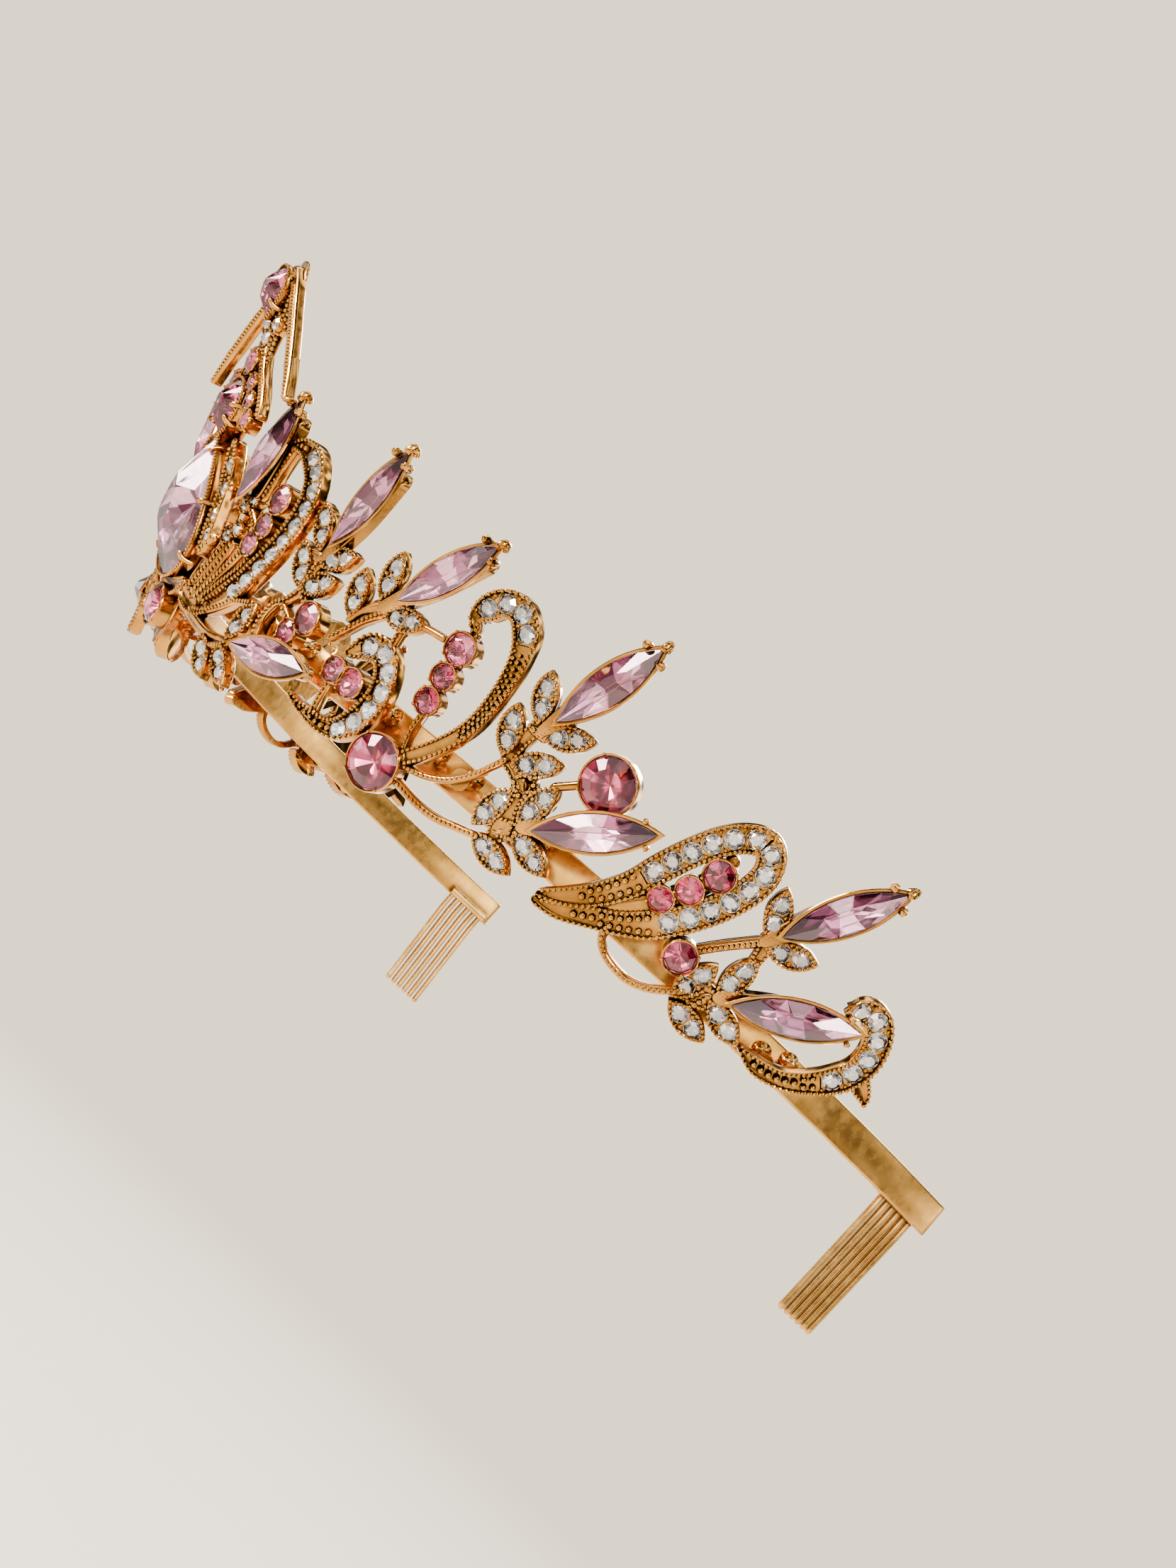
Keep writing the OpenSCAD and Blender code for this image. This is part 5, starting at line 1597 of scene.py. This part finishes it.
@dataclass
class Marquises:
    """The eight marquise stones of a side in boat-shaped settings with ball claws."""

    places: Tuple[Tuple[float, float, float, float, float, Claws], ...] = (
        (15, 0.3, 10.7, 23.2, 78, Claws.BALLS), (26, 0, 28, 3.4, 10, Claws.NONE),
        (26, 0, 30, 24.4, 72, Claws.BALLS), (38.5, 0, 43.5, 22.7, 54, Claws.BALLS),
        (63, 0, 63.6, 24.1, 71, Claws.BALLS),
        (63, 0, 71.4, 11.5, 37, Claws.SMALL), (92, 0, 93.9, 22.6, 63, Claws.BALLS),
        (92, 0, 97.9, 11.3, 31, Claws.SMALL))

    def setting(self, claws: Claws) -> Shell:
        """One boat: a wall of two arcs that draws in towards its foot, a thin lip and ball claws."""
        shell = Shell()
        l, w = SIZE.navette_l + 4 * SIZE.cup_wall, SIZE.navette_w + 2 * SIZE.cup_wall
        top = SIZE.navette_seat + 0.05
        steps = ((0.95, 0.0), (0.7, 0.08), (0.35, 0.4), (0.08, top - 0.35), (0.04, top - 0.12),
                 (0.1, top - 0.03), (0.24, top - 0.01), (0.42, top - 0.08), (0.55, top - 0.4), (1.3, 0.06))
        shell.add(*loft([(oval_edge(l - i, w, i, 24), z) for i, z in steps]))
        if claws is Claws.NONE:
            return shell
        r = BALL_CLAW if claws is Claws.BALLS else SMALL_CLAW
        x, y = SIZE.navette_l * 0.41, SIZE.navette_w * 0.17 + SIZE.cup_wall + SIZE.claw_d * 0.3
        for k in (-1, 1):
            bend = smooth_line([(x - 0.6, k * 0.3, 0.15), (x - 0.2, k * 1.0, 0.2), (x, k * y, 0.55),
                                (x, k * y, SIZE.navette_seat + 0.1)], 0.15)
            shell.add(*pipe(bend, np.full(len(bend), r * 0.85), np.array([1.0, 0, 0])))
            grains(shell, np.array([[x, k * y, SIZE.navette_seat + 0.3]]), r)
        if claws is Claws.BALLS:
            tip = smooth_line([(l / 2 - 0.9, 0, 0.1), (l / 2 - 0.35, 0, 0.4), (l / 2 - 0.3, 0, 0.9),
                               (l / 2 - 0.75, 0, 1.2)], 0.15)
            shell.add(*pipe(tip, np.linspace(BALL_CLAW, 0.46, len(tip)), np.array([0, 1.0, 0])))
            grains(shell, tip[-1:] - [0.1, 0, 0.03], 0.5)
        return shell

    def build(self, palette: Palette) -> None:
        """Set all eight on their planes, and dress both sides."""
        boats, stones = Shell(), Shell()
        form = NAVETTE.facets(marquise_cut(SIZE.navette_l, SIZE.navette_w))
        for s, lift, at_s, at_h, angle, claws in self.places:
            plate = PLAN.plate(s, lift)
            at = plate.flat((at_s, at_h))[0]
            boats.take(self.setting(claws).moved(angle, at, SIZE.bed_h), plate)
            stone = Shell()
            set_stone(stone, form, at, SIZE.bed_h + SIZE.navette_seat, angle)
            stones.take(stone, plate)
        fit_both(boats, "marquise_boats", "navette_settings", [palette.cast])
        fit_both(stones, "marquise_stones", "navettes", palette.stone(Tint.LILAC))


@dataclass
class Rounds:
    """The round coloured stones that stand in the castings' cups."""

    castings: Tuple[Casting, ...]

    def build(self, palette: Palette) -> None:
        """Cut and set the small stones, then the big ones, and dress both sides."""
        for name, big in (("small_rounds", False), ("large_rounds", True)):
            world = Shell()
            for casting in self.castings:
                flat = Shell()
                for k, (s, h, d) in enumerate(casting.cups):
                    if (d >= BIG_ROUND) is big:
                        set_stone(flat, round_cut(d).facets(circle_cut(d)), casting.plate().flat((s, h))[0],
                                  SIZE.cup_seat, CUP_STEP * k)
                world.take(flat, casting.plate())
            fit_both(world, f"{name}_cut", name, palette.stone(Tint.PINK))


# ---- crest ----

@dataclass
class Crest(Casting):
    """The tall front ornament: arms, a column of stones, a big pear, two drops and a foot stone."""

    node: str = "crest"
    s: float = -1.0
    arm: Tuple = ((0.3, 43.3, 1.6), (2.8, 41.2, 1.6), (5.5, 38.6, 1.5), (8.4, 35.9, 1.4), (11, 33.3, 1.3),
                  (13.2, 31, 1.1), (14.3, 29.7, 0.9), (15.4, 28.4, 0.8))
    inner: Tuple = ((0.2, 34.2, 1.2), (1.9, 32.2, 1.1), (3.9, 30.3, 1.1), (6, 28.6, 1.1), (7.7, 26.9, 1),
                    (8.4, 25.6, 0.9))
    side: Tuple = ((4.6, 21.4, 2), (6.1, 19.2, 2.9), (7.4, 16.6, 2.9), (7.6, 14, 2.9), (7.8, 11.2, 2.8),
                   (7.4, 8.8, 1.4))
    foot: Tuple = ((-5.4, 4.6, 1.2), (-3.2, 3.8, 2.2), (0, 3.4, 2.6), (3.2, 3.8, 2.2), (5.4, 4.6, 1.2))
    column: Tuple = ((0, 42.5, 5), (0, 38, 5.6), (0, 35, 4.4), (0, 32, 3.4), (0, 29, 5), (0, 25, 6.6),
                     (0, 21.5, 3.4))
    back: Tuple = ((0, 22.5, 3.6), (0, 18, 8.4), (0, 13, 13), (0, 8, 12), (0, 4.5, 7), (0, 1, 6.2),
                   (0, -1.4, 4.2), (0, -3, 1.2))
    cups: Tuple = ((3.5, 29, PETIT), (5.1, 26.9, PETIT), (6.6, 24.7, PETIT), (-3.5, 29, PETIT),
                   (-5.1, 26.9, PETIT), (-6.6, 24.7, PETIT), (0, 31.6, MID - 0.2))
    free: Tuple = ((1.8, 36.6), (6.2, 19.2), (7.6, 16.5), (7.6, 13.2), (7.9, 10.7))
    posts: Tuple = ((-2.8, 6.4), (2.8, 6.4))
    pear_at: Pair = (0, 13.2)
    upper_at: Pair = (0, 25.6)
    apex_at: Pair = (0, 40.2)
    foot_at: Pair = (0, 0.8)

    def plate(self) -> Plate:
        """The crest's own plane."""
        return PLAN.crest_plate()

    def seats(self) -> Array:
        """The chatons: one on the middle line and five on each side."""
        half = np.array(self.free)
        xy = np.concatenate([[[0, 34.8]], half, half * [-1, 1]])
        return add_column(xy, SIZE.chaton_d)

    def frame(self, at: Pair, turn: float, l: float, w: float, claws: Sequence[float]) -> Shell:
        """A drop's frame: a wall that draws in towards its foot, a milled lip and claws.

        Args:
            at: Its middle on the plane.
            turn: 180 for a drop with its point down.
            l: Length of the stone.
            w: Width of the stone.
            claws: Angles round the drop, from its point.

        Returns:
            The frame, on the crest's plane.
        """
        shell = Shell()
        top, wall = SIZE.drop_seat + 0.24, SIZE.cup_wall
        steps = ((0.5, -0.9), (0.3, -0.2), (0.12, 0.4), (0.0, top - 0.25), (0.05, top - 0.08), (0.18, top),
                 (0.34, top - 0.05), (0.45, top - 0.3), (0.62, top - 0.6), (0.8, -0.6), (1.2, -0.85))
        points, faces = loft([(drop_edge(l + 2 * wall, w + 2 * wall, i, 56), z) for i, z in steps])
        shell.add(turned(points, turn, at), faces)
        edge = drop_edge(l + 2 * wall, w + 2 * wall, 0.16, 120)
        edge = np.concatenate([edge, edge[:1]])
        beads = along_line(edge, even_steps(edge, 0.46)[:-1])
        grains(shell, turned(add_column(beads, top), turn, at), 0.22)
        out = 2 * wall + SIZE.claw_d / 2
        for t in np.radians(claws):
            spot = turned(drop_points(np.array([t]), l + out, w + out), turn, at)[0]
            inward = np.asarray(at) - spot
            claw(shell, spot, SIZE.drop_seat + 0.6, SIZE.claw_d / 2, inward / np.linalg.norm(inward) * 0.5)
        return shell

    def metal(self) -> Shell:
        """Arms, rails, column and back, with collars, cups and clusters of grains."""
        plate, flat, holes = self.plate(), Shell(), self.hollows()
        for line in (self.column, self.back):
            Strand(LOW, line).cast(flat, plate, holes)
        Strand(TWIN, self.foot).cast(flat, plate, holes)
        for k in (1, -1):
            arm, inner, side = (tuple((k * s, h, w) for s, h, w in line)
                                for line in (self.arm, self.inner, self.side))
            Strand(BEAD, arm).cast(flat, plate, holes)
            Strand(BEAD, inner).cast(flat, plate, holes)
            StoneRow(side, 0.0, 0).cast(flat, plate, holes)
        for x, y, d in self.seats():
            collar(flat, np.array([x, y]), d)
        for s, h, d in self.cups:
            cup(flat, np.array([s, h]), d)
        for s, h in self.posts:
            self.post(flat, plate, np.array([s, h]))
        self.clusters(flat)
        return flat.on(plate)

    def clusters(self, shell: Shell) -> None:
        """Grains beside the column: on each side two rows that follow the arms at an even pitch."""
        h = np.arange(28.5, 42.5, 0.62)
        half = np.interp(h, [28, 31.5, 34.8, 38, 42.5], [2.4, 2.2, 1.7, 2.7, 1.4])
        for k in (-1, 1):
            for off, z in ((0.0, -0.1), (0.55, -0.35)):
                grains(shell, np.column_stack([k * (half + off), h + off * 0.5, np.full(len(h), z)]), 0.3)

    def build(self, palette: Palette) -> None:
        """Make and dress the crest's casting, frames and stones."""
        fit(self.metal().make("crest_casting", [palette.cast]), ["crest"])
        fit(self.chatons().make("crest_stones", palette.stone(Tint.CLEAR)), ["crest_chatons"])
        z = SIZE
        drops = (("pear", self.pear_at, 0.0, z.pear_l, z.pear_w, (36, 84, 132, 228, 276, 324), PEAR,
                  Tint.LILAC),
                 ("upper", self.upper_at, 180.0, z.upper_l, z.upper_w, (62, 96, 264, 298), DROP, Tint.PINK),
                 ("apex", self.apex_at, 180.0, z.apex_l, z.apex_w, (60, 300), DROP, Tint.PINK))
        for name, at, turn, l, w, claws, cut, tint in drops:
            frame_shell = self.frame(at, turn, l, w, claws).on(self.plate())
            fit(frame_shell.make(f"{name}_frame", [palette.cast]), [f"{name}_setting"])
            flat = Shell()
            set_stone(flat, cut.facets(drop_cut(l, w)), np.array(at), z.drop_seat, turn)
            fit(flat.on(self.plate()).make(f"{name}_cut", palette.stone(tint)), [f"{name}_stone"])
        self.build_rounds(palette)

    def build_rounds(self, palette: Palette) -> None:
        """The foot stone with its cup, and the seven stones in the crest's cups."""
        z = SIZE
        flat = Shell()
        cup(flat, np.array(self.foot_at), z.foot_d)
        fit(flat.on(self.plate()).make("foot_cup", [palette.cast]), ["foot_setting"])
        groups = (("foot_cut", "foot_stone", ((*self.foot_at, z.foot_d),)),
                  ("crest_round_cut", "crest_rounds", self.cups))
        for name, node, spots in groups:
            flat = Shell()
            for k, (s, h, d) in enumerate(spots):
                set_stone(flat, round_cut(d).facets(circle_cut(d)), np.array([s, h]), z.cup_seat,
                          FOOT_STEP * k)
            fit(flat.on(self.plate()).make(name, palette.stone(Tint.PINK)), [node])

    def chatons(self) -> Shell:
        """The clear stones, each turned a step on from the last, in the tiara's frame."""
        flat = Shell()
        form = CHATON.facets(circle_cut(SIZE.chaton_d))
        for k, (x, y, _) in enumerate(self.seats()):
            set_stone(flat, form, np.array([x, y]), CHATON_Z, CHATON_STEP * k)
        return flat.on(self.plate())


# ---- headband and combs ----

@dataclass
class Headband:
    """The open band: a flat strip with rounded edges, bent along the foot line."""

    edge: float = 0.28
    step: float = 0.7

    def build(self, palette: Palette) -> None:
        """Carry a rounded strip along the plan.

        The strip's section is a superellipse-like ring: its corners are quarter
        circles of the edge radius. At each end its thickness goes as the cosine of
        an angle while it goes on by the sine, so the ends are round in plan.
        """
        z = SIZE
        t = np.radians(np.arange(0, 91, 30))
        e, hw, ht = self.edge, z.band_w / 2, z.band_t / 2
        corner = np.stack([ht - e + e * np.cos(t), hw - e + e * np.sin(t)], 1)
        ring = np.concatenate([corner, (corner * [-1, 1])[::-1], corner * [-1, -1], (corner * [1, -1])[::-1]])
        n = int(z.band_reach / self.step)
        s = np.linspace(-z.band_reach, z.band_reach, 2 * n + 1)
        end = np.radians([85.0, 60.0, 30.0])
        s = np.concatenate([-z.band_reach - ht * np.sin(end), s, z.band_reach + ht * np.sin(end)[::-1]])
        thick = np.concatenate([np.cos(end), np.ones(2 * n + 1), np.cos(end)[::-1]])
        inset = z.band_inset + ht - ring[None, :, 0] * thick[:, None]
        rings = PLAN.point(np.repeat(s[:, None], len(ring), 1), inset, np.repeat(ring[None, :, 1], len(s), 0))
        shell = Shell()
        shell.add(*tube(rings))
        fit(shell.make("band_strip", [palette.polished], 60.0), ["headband"])


@dataclass
class Comb:
    """A hair comb inside the band's end: a bar and six bent wire teeth."""

    lean_along: float = 0.052
    lean_in: float = 0.1045

    def tooth(self, shell: Shell, s: float) -> None:
        """One tooth: straight down from the bar, a soft bend, then a slanted run to a round tip."""
        z = SIZE
        a = float(PLAN.turn(s))
        u = np.array([math.cos(a), math.sin(a), 0.0])
        inward = -np.array([math.sin(a), -math.cos(a), 0.0])
        fall = np.array([0, 0, -1.0])
        slant = u * self.lean_along + inward * self.lean_in
        slant = slant + fall * math.sqrt(1 - float(slant @ slant))
        top = PLAN.point(s, z.band_inset + z.band_t + z.comb_t / 2, -z.band_w / 2 + z.comb_bar - 0.5)
        end = np.radians([40, 65, 86])
        run = np.concatenate([np.linspace(0, z.tooth_l, 40), z.tooth_l + z.tooth_d / 2 * np.sin(end)])
        bend = np.clip((run - z.tooth_bend + 1.2) / 2.4, 0, 1)
        heading = fall + (slant - fall) * (bend * bend * (3 - 2 * bend))[:, None]
        steps = np.diff(run, prepend=0.0)[:, None] * heading
        r = np.concatenate([np.full(40, z.tooth_d / 2), z.tooth_d / 2 * np.cos(end)])
        shell.add(*pipe(top + np.cumsum(steps, 0), r, u + inward * 0.3))

    def build(self, palette: Palette) -> None:
        """Make the bar and its teeth, and dress both sides.

        The bar's section is a circle whose coordinates are raised to the power of a half
        with their sign kept, so it is a square with round corners.
        """
        z, shell = SIZE, Shell()
        half = z.tooth_pitch * z.comb_teeth / 2
        s = np.linspace(z.comb_s - half, z.comb_s + half, 24)
        t = np.radians(np.arange(0, 360, 30))
        mid = -z.band_w / 2 + z.comb_bar / 2
        wide, tall = np.cos(t), np.sin(t)
        inset = z.band_inset + z.band_t + z.comb_t / 2 * (1 + np.sign(wide) * np.abs(wide) ** 0.5)
        height = mid + z.comb_bar / 2 * np.sign(tall) * np.abs(tall) ** 0.5
        shell.add(*tube(PLAN.point(np.repeat(s[:, None], 12, 1), inset, height)))
        for k in range(z.comb_teeth):
            self.tooth(shell, z.comb_s + (k - (z.comb_teeth - 1) / 2) * z.tooth_pitch)
        fit_both(shell, "comb_wires", "comb", [palette.wire], 60.0)


# ---- studio ----

@dataclass
class Studio:
    """Floor, soft lights, surroundings and camera."""

    floor_z: float = -0.1
    floor_r: float = 2.5
    fade: Pair = (0.12, 0.5)
    camera_at: Triple = (0.30238, -0.15969, -0.0252)
    camera_turn: Triple = (99.494, -41.832, 58.647)
    lens: float = 39.936
    sensor: float = 24.0
    lamps: Tuple = (("window", (-0.25, -0.95, 0.35), 0.4, 30.0, (1.0, 0.95, 0.87)),
                    ("fill", (0.9, -0.2, 0.5), 0.3, 14.0, (1.0, 0.97, 0.93)),
                    ("back_left", (-0.8, 0.6, 0.6), 0.35, 14.0, (1.0, 0.95, 0.88)))
    paper: Rgb = (0.86, 0.79, 0.69)
    pale: Rgb = (1.85, 1.58, 1.18)

    def floor(self) -> None:
        """A round floor whose paper-like surface thins out into the surroundings."""
        mesh = bpy.data.meshes.new("studio_floor")
        ring = add_column(circle(96, self.floor_r), self.floor_z)
        mesh.from_pydata(ring.tolist(), [], [list(range(len(ring)))])
        made = link("studio_floor", mesh)
        web = Web(bpy.data.materials.new("studio_paper"))
        shader = web.node("ShaderNodeBsdfPrincipled", Roughness=0.9)
        web.join(web.ramp(web.noise(6.0), [(0.3, self.paper), (0.7, tuple(c * 0.97 for c in self.paper))]),
                 shader.inputs["Base Color"])
        place, far = web.node("ShaderNodeTexCoord"), web.node("ShaderNodeVectorMath")
        far.operation = "LENGTH"
        web.join(place.outputs["Object"], far.inputs[0])
        mix = web.node("ShaderNodeMixShader")
        web.join(web.span(far.outputs["Value"], 0.0, 1.0, *self.fade), mix.inputs[0])
        web.join(shader.outputs["BSDF"], mix.inputs[1])
        web.join(web.node("ShaderNodeBsdfTransparent").outputs[0], mix.inputs[2])
        mesh.materials.append(web.finish(mix.outputs[0]))

    def lamp(self, name: str, at: Triple, size: float, power: float, colour: Rgb) -> None:
        """A square soft light that faces the tiara."""
        data = bpy.data.lights.new(name, "AREA")
        data.shape, data.size, data.energy, data.color = "SQUARE", size, power, colour
        made = link(name, data)
        made.location = at
        made.rotation_euler = (-Vector(at)).to_track_quat("-Z", "Y").to_euler()

    def surroundings(self) -> None:
        """A pale backdrop, and a room of windows and dark corners that only reflections see.

        The room's light goes by height, from a warm table up to a bright ceiling, times
        soft patches about forty degrees wide.
        """
        web = Web(bpy.data.worlds.new("studio_room"), "ShaderNodeOutputWorld")
        place, split = web.node("ShaderNodeTexCoord"), web.node("ShaderNodeSeparateXYZ")
        web.join(place.outputs["Generated"], split.inputs[0])
        height = web.span(split.outputs["Z"], 0.0, 1.0, -1.0, 1.0)
        room = web.ramp(height, [(0.0, (0.5, 0.4, 0.28)), (0.34, (0.45, 0.36, 0.26)),
                                 (0.44, (0.95, 0.88, 0.78)), (0.62, (1.2, 1.16, 1.1)),
                                 (0.76, (0.45, 0.43, 0.4)), (1.0, (1.1, 1.08, 1.05))])
        patch = web.node("ShaderNodeTexNoise", Scale=3.2, Detail=1.0)
        web.join(place.outputs["Generated"], patch.inputs["Vector"])
        windows = web.ramp(patch.outputs["Fac"], [(0.4, (0.02, 0.014, 0.01)), (0.48, (0.36, 0.32, 0.27)),
                                                  (0.54, (1.1, 1.1, 1.1)), (0.62, (4.6, 4.6, 4.6))])
        seen = web.node("ShaderNodeBackground", Strength=1.0)
        seen.inputs["Color"].default_value = (*self.pale, 1.0)
        lit = web.node("ShaderNodeBackground", Strength=1.15)
        web.join(web.blend("MULTIPLY", 1.0, room, windows), lit.inputs["Color"])
        rays, mix = web.node("ShaderNodeLightPath"), web.node("ShaderNodeMixShader")
        web.join(rays.outputs["Is Camera Ray"], mix.inputs[0])
        web.join(lit.outputs[0], mix.inputs[1])
        web.join(seen.outputs[0], mix.inputs[2])
        bpy.context.scene.world = web.finish(mix.outputs[0])

    def camera(self) -> None:
        """The camera, turned on its side a little as the tiara was seen."""
        data = bpy.data.cameras.new("camera")
        data.sensor_fit, data.sensor_height, data.lens = "VERTICAL", self.sensor, self.lens
        data.clip_start, data.clip_end = 0.01, 20.0
        made = link("camera", data)
        made.location = self.camera_at
        made.rotation_euler = tuple(math.radians(a) for a in self.camera_turn)
        bpy.context.scene.camera = made

    def build(self) -> None:
        """Set everything up."""
        self.floor()
        for lamp in self.lamps:
            self.lamp(*lamp)
        self.surroundings()
        self.camera()


def main() -> None:
    """Build every piece in order."""
    palette = Palette()
    Headband().build(palette)
    Comb().build(palette)
    kinds = (Wing, Spray, Crescent, Swan, LeafSpray, Paisley, EndSpray, EndScroll)
    castings = tuple(kind() for kind in kinds)
    for casting in castings:
        casting.build(palette)
    Marquises().build(palette)
    Rounds(castings).build(palette)
    Crest().build(palette)
    Studio().build()
    LOG.info("all pieces made")


if __name__ == "__main__":
    logging.basicConfig(level=logging.INFO, format="%(name)s %(message)s")
    main()
